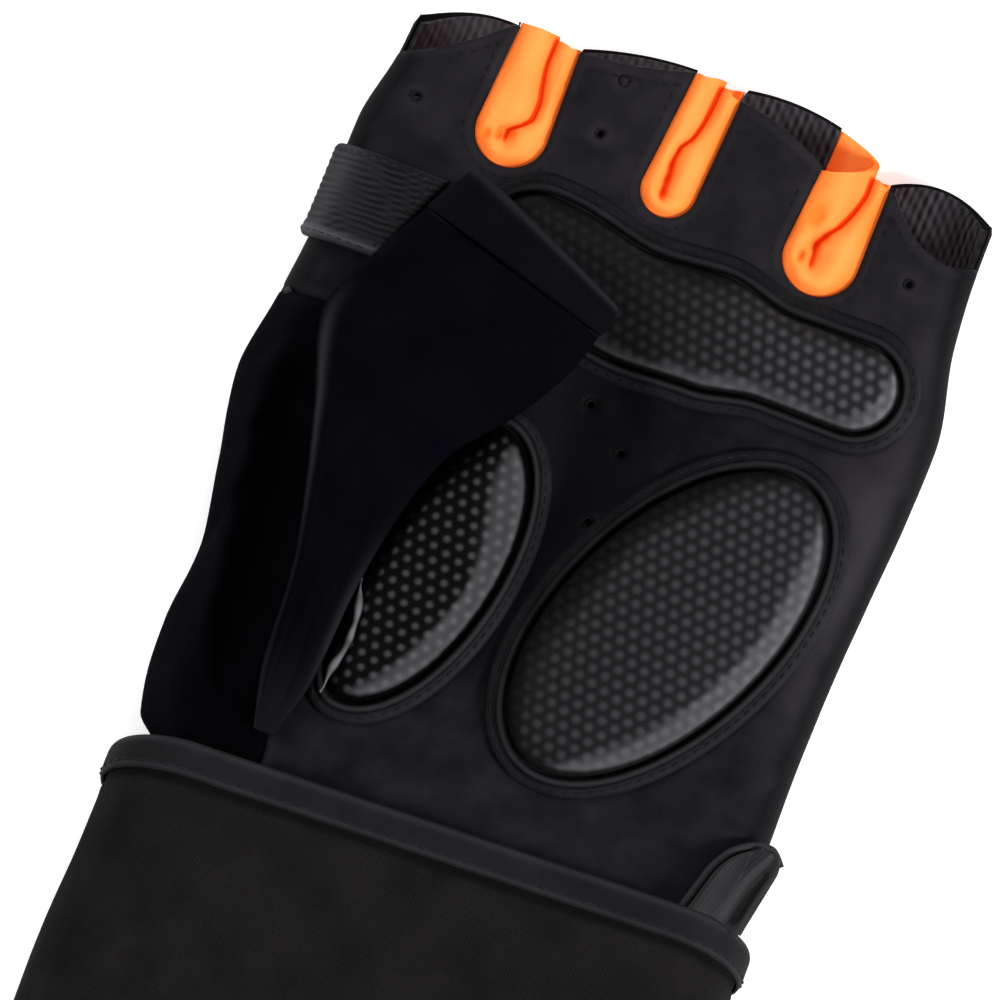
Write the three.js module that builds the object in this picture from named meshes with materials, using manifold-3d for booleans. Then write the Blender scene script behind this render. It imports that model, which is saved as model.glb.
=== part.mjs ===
// Half-finger weightlifting glove for the left hand, lying palm up, in millimetres.
// +X points to the little finger, +Y to the fingertips and +Z out of the palm. The back lies on Z = 0.
import * as THREE from "three";
import { mergeVertices } from "three/addons/utils/BufferGeometryUtils.js";
import Module from "manifold-3d";

const wasm = await Module();
wasm.setup();

// Driving dimensions of the hand
const handWidth = 108;
const handLength = 105;
const originAlong = 0.41;
const handHeight = 22;
const sideRound = 9;
const fingerLength = 28;
const fabricWall = 1.6;
const fourchetteWall = 1.2;
const creaseGap = 0.7;
const facingWall = 0.7;
const facingLength = 12;
const patchWall = 1.3;
const ventBore = 1.3;

// Driving dimensions of the thumb sleeve
const sleeveWall = 1.5;
const sleeveRoundness = 2.6;
const hemWall = 1.2;
const hemProud = 0.4;

// Driving dimensions of the pads and their welts
const padHeight = 5.5;
const padShoulder = 5;
const padRim = 0.8;
const weltWidth = 3.3;
const weltHeight = 1.6;

// Driving dimensions of the wrist wrap
const wrapSpan = 114;
const wrapHeight = 28.5;
const wrapWidth = 75;
const wrapWall = 2;
const bindingWall = 0.8;
const bindingWidth = 6.3;
const tabWall = 0.8;
const tabSpan = 34;
const tabWidth = 55;

// Driving dimensions of the pull loop
const loopLength = 14;
const loopWidth = 10;
const loopWall = 1.2;
const loopFold = 1.7;
const pipingBore = 1.4;

// Clearances
const seamGap = 0.3;
const seatGap = 0.45;
const restGap = 0.8;

// Sections of the hand from the wrist seam (0) to the finger webs (1) and on to the fingertips.
// left and right are shares of half the hand's width, the others are shares of its height.
const handSections = [
  { at: -0.18, left: -0.86, right: 0.85, palm: 1.08, seam: 0.73, back: 0.42 },
  { at: -0.045, left: -0.9, right: 0.875, palm: 1.07, seam: 0.72, back: 0.42 },
  { at: 0, left: -0.985, right: 0.91, palm: 1.05, seam: 0.66, back: 0.33 },
  { at: 0.1, left: -1.018, right: 0.955, palm: 0.98, seam: 0.48, back: 0.06 },
  { at: 0.15, left: -1.02, right: 0.96, palm: 0.96, seam: 0.45, back: 0 },
  { at: 0.27, left: -1, right: 0.957, palm: 0.92, seam: 0.43, back: 0 },
  { at: 0.41, left: -1.04, right: 0.963, palm: 0.9, seam: 0.42, back: 0 },
  { at: 0.57, left: -1.09, right: 0.98, palm: 0.9, seam: 0.42, back: 0 },
  { at: 0.7, left: -1.052, right: 0.998, palm: 0.9, seam: 0.42, back: 0 },
  { at: 0.83, left: -1.027, right: 1.005, palm: 0.88, seam: 0.41, back: 0 },
  { at: 1, left: -1.02, right: 0.945, palm: 0.82, seam: 0.39, back: 0 },
  { at: 1.12, left: -0.975, right: 0.93, palm: 0.82, seam: 0.42, back: 0.04 },
  { at: 1.21, left: -0.96, right: 0.93, palm: 0.86, seam: 0.48, back: 0.12 },
  { at: 1.29, left: -0.95, right: 0.925, palm: 0.92, seam: 0.56, back: 0.2 },
];

// Mounds and valleys of the palm: x and wide are shares of half the hand's width, at and long are shares
// of its length, high is a share of its height, and tilt leans the long way from +Y to +X in degrees.
const palmForms = [
  { name: "heel mound", x: 0.43, at: 0.43, long: 0.34, wide: 0.37, tilt: 26, high: 0.07 },
  { name: "thumb mound", x: -0.35, at: 0.37, long: 0.31, wide: 0.33, tilt: 12, high: 0.07 },
  { name: "cup", x: -0.02, at: 0.58, long: 0.29, wide: 0.26, tilt: 0, high: -0.18 },
  { name: "bar mound", x: 0.19, at: 0.89, long: 0.43, wide: 0.22, tilt: 90, high: 0.05 },
];
const gussetValley = { x: -0.84, at: 0.34, long: 0.42, wide: 0.125, tilt: -7, high: -0.36 };

// Dips of the palm between the finger rows: a share of the hand's height, and the share of its length
// over which they set in below the slots
const fingerDip = { deep: 0.11, setIn: 0.1 };

// Slots between the fingers: x is a share of half the hand's width at the slot's round bottom, halves
// are shares of it at the bottom and at the end, at is a share of the hand's length, lean is dx over dy.
const slots = [
  { name: "fourchette_index_middle", x: -0.561, at: 1.007, half: 0.113, endHalf: 0.093, lean: 0.03 },
  { name: "fourchette_middle_ring", x: -0.048, at: 1.022, half: 0.087, endHalf: 0.078, lean: 0.085 },
  { name: "fourchette_ring_little", x: 0.463, at: 0.991, half: 0.119, endHalf: 0.102, lean: 0.05 },
];

// Finger ends: x and half are shares of half the hand's width. The ends are shares of the finger
// length past the webs: middle, tilt and crown of the palm side's edge and of the back's edge.
const fingers = [
  {
    name: "index_facing", x: -0.815, half: 0.167,
    palm: { middle: 0.654, tilt: 0.188, crown: -0.027 }, back: { middle: 0.839, tilt: 0.093, crown: 0.064 },
  },
  {
    name: "middle_facing", x: -0.278, half: 0.176,
    palm: { middle: 0.868, tilt: 0.063, crown: -0.027 }, back: { middle: 0.964, tilt: 0.063, crown: 0.027 },
  },
  {
    name: "ring_facing", x: 0.222, half: 0.167,
    palm: { middle: 0.832, tilt: -0.102, crown: 0.034 }, back: { middle: 1.032, tilt: 0, crown: 0.079 },
  },
  {
    name: "little_facing", x: 0.769, half: 0.176,
    palm: { middle: 0.436, tilt: -0.116, crown: -0.163 }, back: { middle: 0.857, tilt: -0.036, crown: 0.107 },
  },
];

// Seam between the palm and the side gusset: x is a share of half the hand's width
const gussetSeam = [
  { at: -0.2, x: -0.574 },
  { at: 0, x: -0.583 },
  { at: 0.13, x: -0.635 },
  { at: 0.286, x: -0.657 },
  { at: 0.43, x: -0.713 },
  { at: 0.55, x: -0.778 },
  { at: 0.72, x: -0.87 },
];
const gussetTop = 0.705;

// Stations of the thumb sleeve from its root to its end. x columns are shares of half the hand's
// width, y columns are shares of its length, heights and rises are shares of its height.
const sleeveStations = [
  {
    at: 0,
    leftX: -0.64, leftY: 0.04, leftZ: 1.18, leftRise: 0.07,
    rightX: -0.575, rightY: 0.04, rightZ: 1.18, rightRise: 0.07,
  },
  {
    at: 0.12,
    leftX: -0.685, leftY: 0.143, leftZ: 1.16, leftRise: 0.13,
    rightX: -0.522, rightY: 0.143, rightZ: 1.16, rightRise: 0.13,
  },
  {
    at: 0.27,
    leftX: -0.704, leftY: 0.286, leftZ: 1.12, leftRise: 0.26,
    rightX: -0.5, rightY: 0.286, rightZ: 1.33, rightRise: 0.12,
  },
  {
    at: 0.42,
    leftX: -0.76, leftY: 0.429, leftZ: 1.11, leftRise: 0.28,
    rightX: -0.463, rightY: 0.41, rightZ: 1.36, rightRise: 0.14,
  },
  {
    at: 0.55,
    leftX: -0.825, leftY: 0.553, leftZ: 1.11, leftRise: 0.32,
    rightX: -0.389, rightY: 0.534, rightZ: 1.39, rightRise: 0.16,
  },
  {
    at: 0.7,
    leftX: -0.9, leftY: 0.696, leftZ: 1.11, leftRise: 0.3,
    rightX: -0.222, rightY: 0.648, rightZ: 1.38, rightRise: 0.18,
  },
  {
    at: 0.83,
    leftX: -0.796, leftY: 0.82, leftZ: 1.25, leftRise: 0.3,
    rightX: -0.111, rightY: 0.753, rightZ: 1.43, rightRise: 0.26,
  },
  {
    at: 1,
    leftX: -0.593, leftY: 1, leftZ: 1.32, leftRise: 0.31,
    rightX: -0.056, rightY: 0.867, rightZ: 1.47, rightRise: 0.29,
  },
];
const hemStart = 0.9;
const hemEnd = 0.985;
const cavityStart = 0.12;

// Thumb hole along the sleeve, how far across the sleeve it reaches, and the heights that it is cut
// between, in shares of the hand's height
const thumbHole = { start: 0.2, end: 0.7, reach: 0.62, low: 0.5, high: 1.11 };

// Grip pads: x is a share of half the hand's width, at and long and endRound are shares of its length,
// and the rows give the middle line's offset and the half width to either side, in shares of it too.
const pads = [
  {
    name: "bar", x: 0.167, at: 0.881, long: 0.343, tilt: 90, endRound: 0.071,
    rows: [
      { at: -1, middle: -0.048, left: 0.062, right: 0.062 },
      { at: -0.583, middle: -0.01, left: 0.09, right: 0.09 },
      { at: -0.25, middle: 0.01, left: 0.088, right: 0.088 },
      { at: 0.083, middle: 0.003, left: 0.09, right: 0.09 },
      { at: 0.417, middle: 0.005, left: 0.069, right: 0.069 },
      { at: 1, middle: 0.003, left: 0.071, right: 0.071 },
    ],
  },
  {
    name: "thumb", x: -0.343, at: 0.377, long: 0.249, tilt: 12.2, endRound: 0.249,
    rows: [
      { at: -1, middle: 0, left: 0.071, right: 0.12 },
      { at: 1, middle: 0, left: 0.071, right: 0.12 },
    ],
  },
  {
    name: "heel", x: 0.424, at: 0.425, long: 0.308, tilt: 26.5, endRound: 0.308,
    rows: [
      { at: -1, middle: 0, left: 0.161, right: 0.161 },
      { at: 1, middle: 0, left: 0.161, right: 0.161 },
    ],
  },
];

// Ribbed patch on the index finger's side: y range in shares of the hand's length, and its slanting
// edge's x at the lower and upper end in shares of half the hand's width
const patch = { low: 0.796, high: 0.953, lowX: -0.815, highX: -0.68 };

// Vent holes: x in shares of half the hand's width, at in shares of its length
const vents = [
  { x: -0.87, at: 1.062 },
  { x: -0.306, at: 1.107 },
  { x: -0.293, at: 1.2 },
  { x: 0.741, at: 1.058 },
  { x: 0.1, at: 0.651 },
  { x: 0.083, at: 0.534 },
  { x: -0.03, at: 0.705 },
];

// Wrist wrap: share of its half span from its top edge (0) to its lower edge (1)
const wrapShares = [
  { at: 0, span: 0.975 },
  { at: 0.33, span: 0.99 },
  { at: 0.66, span: 1 },
  { at: 1, span: 0.975 },
];
const wrapEdge = { at: -0.033, rise: 0.043, lean: 0.024 };
const wrapTurns = { start: -0.85, innerEnd: -0.36, settled: -0.02, end: 3.6 };

// Pull loop's root: x in shares of half the hand's width, lean from +Y in degrees, level in shares of the
// wrap's height, and how far in from the hand's side it stops following the palm, in side radii
const loopRoot = { x: 0.87, lean: 16, level: 0.72, brim: 0.28 };

const { clamp, lerp, degToRad } = THREE.MathUtils;
const across = (share) => (share * handWidth) / 2;
const along = (share) => (share - originAlong) * handLength;
const upward = (share) => share * handHeight;
const range = (count, make) => Array.from({ length: count }, (_, k) => make(k));
const steps = (count) => range(count + 1, (k) => k / count);

// Slope of a table column at one row, flat where the column turns
function slopeAt(rows, column, i) {
  const secant = (k) => (rows[k + 1][column] - rows[k][column]) / (rows[k + 1].at - rows[k].at);
  if (i === 0) return secant(0);
  if (i === rows.length - 1) return secant(i - 1);
  const before = secant(i - 1);
  const after = secant(i);
  return before * after <= 0 ? 0 : (2 * before * after) / (before + after);
}

// Value of a table column at a place, by a cubic through the rows that never overshoots them
function columnAt(rows, column, at) {
  const last = rows.length - 1;
  const place = clamp(at, rows[0].at, rows[last].at);
  let i = 0;
  while (i < last - 1 && place > rows[i + 1].at) i += 1;
  const span = rows[i + 1].at - rows[i].at;
  const t = (place - rows[i].at) / span;
  const rise = rows[i + 1][column] - rows[i][column];
  const bend = t * (1 - t);
  const start = slopeAt(rows, column, i) * span;
  const end = slopeAt(rows, column, i + 1) * span;
  return rows[i][column] + rise * t * t * (3 - 2 * t) + bend * ((1 - t) * start - t * end);
}

// Closed geometry from points and triangles, without collapsed faces and with its faces pointing out
function closedGeometry(points, faces) {
  const raw = new THREE.BufferGeometry();
  raw.setAttribute("position", new THREE.Float32BufferAttribute(points.flat(), 3));
  raw.setIndex(faces.flat());
  const merged = mergeVertices(raw, 1e-4);
  const place = merged.getAttribute("position");
  const index = merged.getIndex().array;
  const kept = [];
  let volume = 0;
  const corners = [new THREE.Vector3(), new THREE.Vector3(), new THREE.Vector3()];
  for (let i = 0; i < index.length; i += 3) {
    const [a, b, c] = [index[i], index[i + 1], index[i + 2]];
    if (a === b || b === c || c === a) continue;
    [a, b, c].forEach((k, n) => corners[n].fromBufferAttribute(place, k));
    volume += corners[0].dot(corners[1].cross(corners[2]));
    kept.push(a, b, c);
  }
  if (volume < 0) kept.reverse();
  merged.setIndex(kept);
  return merged;
}

// Loft through closed rings of points; without end faces the last ring joins the first
function loft(rings, cap) {
  const count = rings[0].length;
  const bands = cap ? rings.length - 1 : rings.length;
  const faces = [];
  for (let row = 0; row < bands; row += 1) {
    const here = row * count;
    const next = ((row + 1) % rings.length) * count;
    for (let k = 0; k < count; k += 1) {
      const beside = (k + 1) % count;
      faces.push([here + k, here + beside, next + beside], [here + k, next + beside, next + k]);
    }
  }
  const last = (rings.length - 1) * count;
  for (const [a, b, c] of cap ?? []) faces.push([c, b, a], [last + a, last + b, last + c]);
  return closedGeometry(rings.flat(), faces);
}

// End faces for a convex ring
const fanCap = (count) => range(count - 2, (k) => [0, k + 1, k + 2]);

// End faces for a ring that runs out along one side of a wall and back along the other
function wallCap(half) {
  const pair = (k) => [[k, k + 1, 2 * half - 2 - k], [k, 2 * half - 2 - k, 2 * half - 1 - k]];
  return range(half - 1, pair).flat();
}

// Thin wall between two grids of points that face each other
function wall(outer, inner) {
  const rings = outer.map((row, i) => [...row, ...inner[i].slice().reverse()]);
  return loft(rings, wallCap(outer[0].length));
}

// Solid of a closed geometry, for cutting and joining
function toSolid(geometry) {
  const bare = geometry.clone();
  bare.deleteAttribute("normal");
  bare.deleteAttribute("uv");
  const merged = mergeVertices(bare, 1e-4);
  const vertProperties = new Float32Array(merged.getAttribute("position").array);
  const triVerts = new Uint32Array(merged.getIndex().array);
  return new wasm.Manifold(new wasm.Mesh({ numProp: 3, vertProperties, triVerts }));
}

// Geometry of a solid
function toGeometry(solid) {
  const { vertProperties, triVerts } = solid.getMesh();
  const geometry = new THREE.BufferGeometry();
  geometry.setAttribute("position", new THREE.BufferAttribute(vertProperties, 3));
  geometry.setIndex(new THREE.BufferAttribute(triVerts, 1));
  return geometry;
}

// Upright cutter over a flat outline, well above and below the hand
function cutter(outline, low = -handHeight, high = 3 * handHeight) {
  const shape = new THREE.Shape(outline.map(([x, y]) => new THREE.Vector2(x, y)));
  const geometry = new THREE.ExtrudeGeometry(shape, { depth: high - low, bevelEnabled: false });
  geometry.translate(0, 0, low);
  return toSolid(geometry);
}

const subtractAll = (solid, cutters) => cutters.reduce((rest, cut) => rest.subtract(cut), solid);

// The hand's section at a place along it
function handAt(y) {
  const at = y / handLength + originAlong;
  const column = (name) => columnAt(handSections, name, at);
  return {
    left: across(column("left")),
    right: across(column("right")),
    palm: upward(column("palm")),
    seam: upward(column("seam")),
    back: upward(column("back")),
  };
}

// Round shoulder of a section: 0 at its side, 1 from one radius inwards
function shoulder(distance, round) {
  const short = 1 - clamp(distance / round, 0, 1);
  return Math.sqrt(1 - short * short);
}

// Height of one mound or valley at a place
function formHeight(form, x, y) {
  const turn = degToRad(form.tilt);
  const dx = x - across(form.x);
  const dy = y - along(form.at);
  const far = (dx * Math.sin(turn) + dy * Math.cos(turn)) / (form.long * handLength);
  const aside = (dx * Math.cos(turn) - dy * Math.sin(turn)) / across(form.wide);
  const inside = Math.max(0, 1 - far * far - aside * aside);
  return upward(form.high) * inside * inside;
}

// Dips of the palm between the finger rows
function fingerWave(x, y) {
  const spread = across(slots[0].half);
  const dips = slots.map((slot) => {
    const started = clamp((y / handLength + originAlong - slot.at) / fingerDip.setIn + 0.5, 0, 1);
    const aside = (x - across(slot.x)) / spread;
    return started * Math.exp((-aside * aside) / 2);
  });
  return -upward(fingerDip.deep) * dips.reduce((sum, dip) => sum + dip, 0);
}

// Top of the palm at a place, and its inner side with an inset
function palmTop(x, y, inset = 0, withValley = true) {
  const hand = handAt(y);
  const distance = Math.min(x - hand.left, hand.right - x) - inset;
  const forms = withValley ? [...palmForms, gussetValley] : palmForms;
  const relief = forms.reduce((sum, form) => sum + formHeight(form, x, y), fingerWave(x, y));
  const seam = hand.seam + seamGap / 2;
  return seam + (hand.palm + relief - inset - seam) * shoulder(distance, sideRound - inset);
}

// Underside of the back at a place, and its inner side with an inset
function backUnder(x, y, inset = 0) {
  const hand = handAt(y);
  const distance = Math.min(x - hand.left, hand.right - x) - inset;
  const seam = hand.seam - seamGap / 2;
  return seam - (seam - hand.back - inset) * shoulder(distance, sideRound - inset);
}

// Half of the hand's tube as a wall from side seam to side seam
function handShell(height, columns, rows) {
  const spread = steps(columns).map((t) => {
    const a = 2 * t - 1;
    return (1 + (a + Math.sin((a * Math.PI) / 2)) / 2) / 2;
  });
  const firstRow = handSections[0].at;
  const lastRow = handSections[handSections.length - 1].at;
  const side = (inset) => steps(rows).map((t) => {
    const y = along(lerp(firstRow, lastRow, t));
    const hand = handAt(y);
    return spread.map((share) => {
      const x = lerp(hand.left + inset, hand.right - inset, share);
      return [x, y, height(x, y, inset)];
    });
  });
  return toSolid(wall(side(0), side(fabricWall)));
}

// Y of a finger's end at a place across it, -1 to 1, on the palm or on the back
function fingerEnd(finger, side, place) {
  const { middle, tilt, crown } = finger[side];
  return along(1) + fingerLength * (middle + tilt * place - crown * place * place);
}

// Cutter for all that lies past the finger ends
function endCutter(side) {
  const edge = fingers.flatMap((finger) => [-1.12, -0.5, 0, 0.5, 1.12].map((place) => [
    across(finger.x + place * finger.half),
    fingerEnd(finger, side, place),
  ]));
  const beyond = along(1) + 2 * fingerLength;
  const left = [across(-1.5), edge[0][1]];
  const right = [across(1.5), edge[edge.length - 1][1]];
  return cutter([left, ...edge, right, [across(1.5), beyond], [across(-1.5), beyond]]);
}

// Path round a finger slot: points with the direction to the slot's middle and the room there.
// arm is 0 on the round bottom and runs to 1 at the end of each arm.
function slotPath(slot, armSteps = 4, arcSteps = 6) {
  const radius = across(slot.half);
  const arcY = along(slot.at) + radius;
  const halfAt = (y) => lerp(radius, across(slot.endHalf), clamp((y - arcY) / (fingerLength - radius), 0, 1));
  const middleAt = (y) => across(slot.x) + slot.lean * (y - arcY);
  const armPoint = (sign, arm, endY) => {
    const y = lerp(arcY, endY, arm);
    return { x: middleAt(y) + sign * halfAt(y), y, toX: -sign, toY: 0, room: halfAt(y) };
  };
  const arcPoint = (t) => {
    const angle = Math.PI * (1 + t);
    const [cos, sin] = [Math.cos(angle), Math.sin(angle)];
    return { x: across(slot.x) + radius * cos, y: arcY + radius * sin, toX: -cos, toY: -sin, room: radius };
  };
  const arms = steps(armSteps).slice(1);
  return [
    ...arms.slice().reverse().map((arm) => (endY) => armPoint(-1, arm, endY[0])),
    ...steps(arcSteps).map((t) => () => arcPoint(t)),
    ...arms.map((arm) => (endY) => armPoint(1, arm, endY[1])),
  ];
}

// Cutter for one finger slot
function slotCutter(slot) {
  const beyond = along(1) + 1.5 * fingerLength;
  return cutter(slotPath(slot).map((at) => at([beyond, beyond])).map((p) => [p.x, p.y]));
}

// Puffy strip that lines a slot: a C-shaped profile from the palm's edge to the back's edge
function fourchette(slot, before, after) {
  const profile = steps(6).map((t) => t * Math.PI);
  const side = (inset) => slotPath(slot).map((at) => profile.map((phi) => {
    const t = phi / Math.PI;
    const p = at([
      lerp(fingerEnd(before, "palm", 1), fingerEnd(before, "back", 1), t),
      lerp(fingerEnd(after, "palm", -1), fingerEnd(after, "back", -1), t),
    ]);
    const top = palmTop(p.x, p.y) - seamGap;
    const low = backUnder(p.x, p.y) + seamGap;
    const puff = p.room - creaseGap / 2 - seamGap - inset;
    const offset = seamGap + puff * Math.sin(phi);
    const z = (top + low) / 2 + ((top - low) / 2 - inset) * Math.cos(phi);
    return [p.x + p.toX * offset, p.y + p.toY * offset, z];
  }));
  return wall(side(0), side(fourchetteWall));
}

// X of the seam between the palm and the gusset
const gussetSeamX = (y) => across(columnAt(gussetSeam, "x", y / handLength + originAlong));

// Cutter for the gusset's region, grown or shrunk by a margin
function gussetCutter(margin) {
  const low = along(handSections[0].at) - fabricWall;
  const high = along(gussetTop) + margin;
  const seam = steps(12).map((t) => lerp(low, high, t)).map((y) => [gussetSeamX(y) + margin, y]);
  return cutter([[across(-1.5), low], ...seam, [across(-1.5), high]]);
}

// A point of a pad's plan: u runs along it and v across it, both -1 to 1
function padPoint(pad, u, v) {
  const turn = degToRad(pad.tilt);
  const short = clamp(1 - ((1 - Math.abs(u)) * pad.long) / pad.endRound, 0, 1);
  const half = handLength * columnAt(pad.rows, v < 0 ? "left" : "right", u) * Math.sqrt(1 - short * short);
  const far = u * pad.long * handLength;
  const aside = handLength * columnAt(pad.rows, "middle", u) + v * half;
  const x = across(pad.x) + far * Math.sin(turn) + aside * Math.cos(turn);
  const y = along(pad.at) + far * Math.cos(turn) - aside * Math.sin(turn);
  return { x, y, nearness: Math.sqrt(short * short + v * v - short * short * v * v) };
}

// Height of a pad's crown over its seat, from its rim (nearness 1) to its middle (0)
function crown(nearness, half) {
  const inwards = clamp(((1 - nearness) * half) / padShoulder, 0, 1);
  return padRim + (padHeight - padRim) * Math.sqrt(1 - (1 - inwards) * (1 - inwards));
}

// Crowned pad on the palm
function gripPad(pad) {
  const width = handLength * Math.max(...pad.rows.map((row) => row.right));
  const rings = steps(12).map((t) => -Math.cos(t * Math.PI)).map((u) => {
    const row = steps(8).map((t) => padPoint(pad, u, Math.sin((t - 0.5) * Math.PI)));
    const seat = (p) => palmTop(p.x, p.y) + seatGap;
    const over = row.map((p) => [p.x, p.y, seat(p) + crown(p.nearness, width)]);
    const under = row.map((p) => [p.x, p.y, seat(p)]);
    return [...over, ...under.reverse()];
  });
  return loft(rings, wallCap(rings[0].length / 2));
}

// Outline of a pad with the direction away from it at each point
function padOutline(pad, count = 14) {
  const places = steps(count).map((t) => -Math.cos(t * Math.PI));
  const there = places.slice(0, -1).map((u) => padPoint(pad, u, 1));
  const back = places.slice(1).reverse().map((u) => padPoint(pad, u, -1));
  const loop = [...there, ...back];
  return loop.map((p, k) => {
    const next = loop[(k + 1) % loop.length];
    const before = loop[(k + loop.length - 1) % loop.length];
    const away = new THREE.Vector2(next.y - before.y, before.x - next.x).normalize();
    const out = away.dot(new THREE.Vector2(p.x - across(pad.x), p.y - along(pad.at))) < 0 ? -1 : 1;
    return { x: p.x, y: p.y, awayX: out * away.x, awayY: out * away.y };
  });
}

// Raised ridge round a pad
function welt(pad) {
  const profile = [
    { out: 0, up: 0 },
    { out: 0, up: 0.75 },
    { out: 0.35, up: 1 },
    { out: 0.8, up: 0.6 },
    { out: 1, up: 0 },
  ];
  const rings = padOutline(pad).map((p) => profile.map(({ out, up }) => {
    const away = seatGap + out * weltWidth;
    const x = p.x + p.awayX * away;
    const y = p.y + p.awayY * away;
    return [x, y, palmTop(x, y) + seatGap + up * weltHeight];
  }));
  return loft(rings);
}

// How high a pad with its welt stands over the palm at a place
function padCover(pad, x, y) {
  const turn = degToRad(pad.tilt);
  const dx = x - across(pad.x);
  const dy = y - along(pad.at);
  const apron = seatGap + weltWidth + 1;
  const lead = weltWidth;
  const far = dx * Math.sin(turn) + dy * Math.cos(turn);
  const u = clamp(far / (pad.long * handLength), -1, 1);
  const aside = dx * Math.cos(turn) - dy * Math.sin(turn) - handLength * columnAt(pad.rows, "middle", u);
  const half = handLength * columnAt(pad.rows, aside < 0 ? "left" : "right", u);
  const width = handLength * Math.max(...pad.rows.map((row) => row.right));
  const past = (grow) => {
    const reach = pad.long * handLength + grow;
    const round = pad.endRound * handLength + grow;
    const short = clamp(1 - (reach - Math.abs(far)) / round, 0, 1);
    return Math.hypot(short, aside / (half + grow));
  };
  const overWelt = past(apron) < 1 ? seatGap + weltHeight : 0;
  return past(lead) < 1 ? Math.max(seatGap + crown(past(lead), width + lead), overWelt) : overWelt;
}

// What the thumb sleeve lies on
function sleeveFloor(x, y) {
  const at = y / handLength + originAlong;
  const margin = 0.04;
  const overPatch = at > patch.low - margin && at < patch.high + margin && x < across(patch.highX + margin);
  const cover = Math.max(...pads.map((pad) => padCover(pad, x, y)), overPatch ? seamGap + patchWall : 0);
  return palmTop(x, y, 0, false) + cover + restGap;
}

// Point of the sleeve's section: angle 0 is its right side and a quarter turn is its top
function sleevePoint(at, angle, inset) {
  const column = (name) => columnAt(sleeveStations, name, at);
  const left = new THREE.Vector2(across(column("leftX")), along(column("leftY")));
  const right = new THREE.Vector2(across(column("rightX")), along(column("rightY")));
  const squeeze = inset / left.distanceTo(right);
  const share = lerp(squeeze, 1 - squeeze, (1 + Math.cos(angle)) / 2);
  const { x, y } = left.clone().lerp(right, share);
  const middle = upward(lerp(column("leftZ"), column("rightZ"), share));
  const bulge = Math.abs(Math.sin(angle)) ** (2 / sleeveRoundness);
  const rise = upward(lerp(column("leftRise"), column("rightRise"), share)) - inset;
  const drop = middle - sleeveFloor(x, y) - inset;
  const least = 0.3;
  const z = angle < Math.PI ? middle + Math.max(rise, least) * bulge : middle - Math.max(drop, least) * bulge;
  return [x, y, z];
}

// Solid core of the sleeve between two places along it
function sleeveCore(start, end, inset, count) {
  const sides = 18;
  const ring = (at) => range(sides, (k) => sleevePoint(at, (2 * Math.PI * k) / sides, inset));
  return toSolid(loft(steps(count).map((t) => ring(lerp(start, end, t))), fanCap(sides)));
}

// Cutter for the thumb hole in the palm and in the sleeve's underside
function thumbHoleCutter() {
  const reachAt = (at) => {
    const column = (name) => columnAt(sleeveStations, name, at);
    const x = lerp(column("leftX"), column("rightX"), thumbHole.reach);
    const y = lerp(column("leftY"), column("rightY"), thumbHole.reach);
    return [across(x), along(y)];
  };
  const right = steps(6).map((t) => reachAt(lerp(thumbHole.start, thumbHole.end, t)));
  const low = right[0][1];
  const high = along(columnAt(sleeveStations, "leftY", thumbHole.end));
  const left = steps(6).map((t) => lerp(high, low, t)).map((y) => [gussetSeamX(y), y]);
  return cutter([...right, ...left], upward(thumbHole.low), upward(thumbHole.high));
}

// Ribbed patch over the index finger's side
function indexPatch() {
  const side = (inset) => steps(4).map((t) => {
    const y = along(lerp(patch.low, patch.high, t));
    const edge = across(lerp(patch.lowX, patch.highX, t));
    const start = handAt(y).left + inset;
    return steps(8).map((s) => {
      const x = lerp(start, edge, 1 - Math.cos((s * Math.PI) / 2));
      return [x, y, palmTop(x, y, inset)];
    });
  });
  return wall(side(-seamGap - patchWall), side(-seamGap));
}

// Mesh facing inside the back of a finger's end
function facing(finger) {
  const margin = 1 + seamGap;
  const side = (lift) => steps(3).map((t) => steps(5).map((s) => {
    const place = lerp(-1, 1, s);
    const y = fingerEnd(finger, "back", place) - lerp(facingLength, fabricWall, t);
    const hand = handAt(y);
    const from = Math.max(across(finger.x - finger.half), hand.left + sideRound / 2) + margin;
    const to = Math.min(across(finger.x + finger.half), hand.right - sideRound / 2) - margin;
    const x = lerp(from, to, s);
    return [x, y, backUnder(x, y, fabricWall + seatGap + lift)];
  }));
  return wall(side(facingWall), side(0));
}

// Y of the wrap's top edge at a place round it
function wrapTopY(x, z) {
  const aloft = z / (wrapHeight / 2) - 1;
  return along(wrapEdge.at + wrapEdge.rise * aloft) + (wrapEdge.lean * handLength * x) / (wrapSpan / 2);
}

// Point round the wrap: a turn has four parts, up the right side, over, down the left side and under
function wrapPoint(turn, down, inset) {
  const radius = wrapHeight / 2;
  const settle = clamp((turn - wrapTurns.innerEnd) / (wrapTurns.settled - wrapTurns.innerEnd), 0, 1);
  const layer = wrapWall + 2 * bindingWall + 3 * seamGap;
  const depth = radius - inset - layer * (1 - settle * settle * (3 - 2 * settle));
  const reach = (columnAt(wrapShares, "span", down) * wrapSpan) / 2 - radius;
  const quarter = ((Math.floor(turn) % 4) + 4) % 4;
  const part = turn - Math.floor(turn);
  const sign = quarter < 2 ? 1 : -1;
  const angle = Math.PI * (part - 0.5);
  const bent = quarter % 2 === 0;
  const x = sign * (bent ? reach + depth * Math.cos(angle) : lerp(reach, -reach, part));
  const z = radius + sign * depth * (bent ? Math.sin(angle) : 1);
  return { x, z };
}

// Places round the wrap where its sections stand
function wrapPlaces() {
  const bends = [0, 2].flatMap((start) => steps(8).map((t) => start + t));
  const flats = [4 / 3, 5 / 3, 10 / 3];
  const { start, innerEnd, settled, end } = wrapTurns;
  const easing = steps(4).map((t) => lerp(innerEnd, settled, t));
  return [start, ...easing, ...bends, ...flats, end].sort((a, b) => a - b);
}

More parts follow.
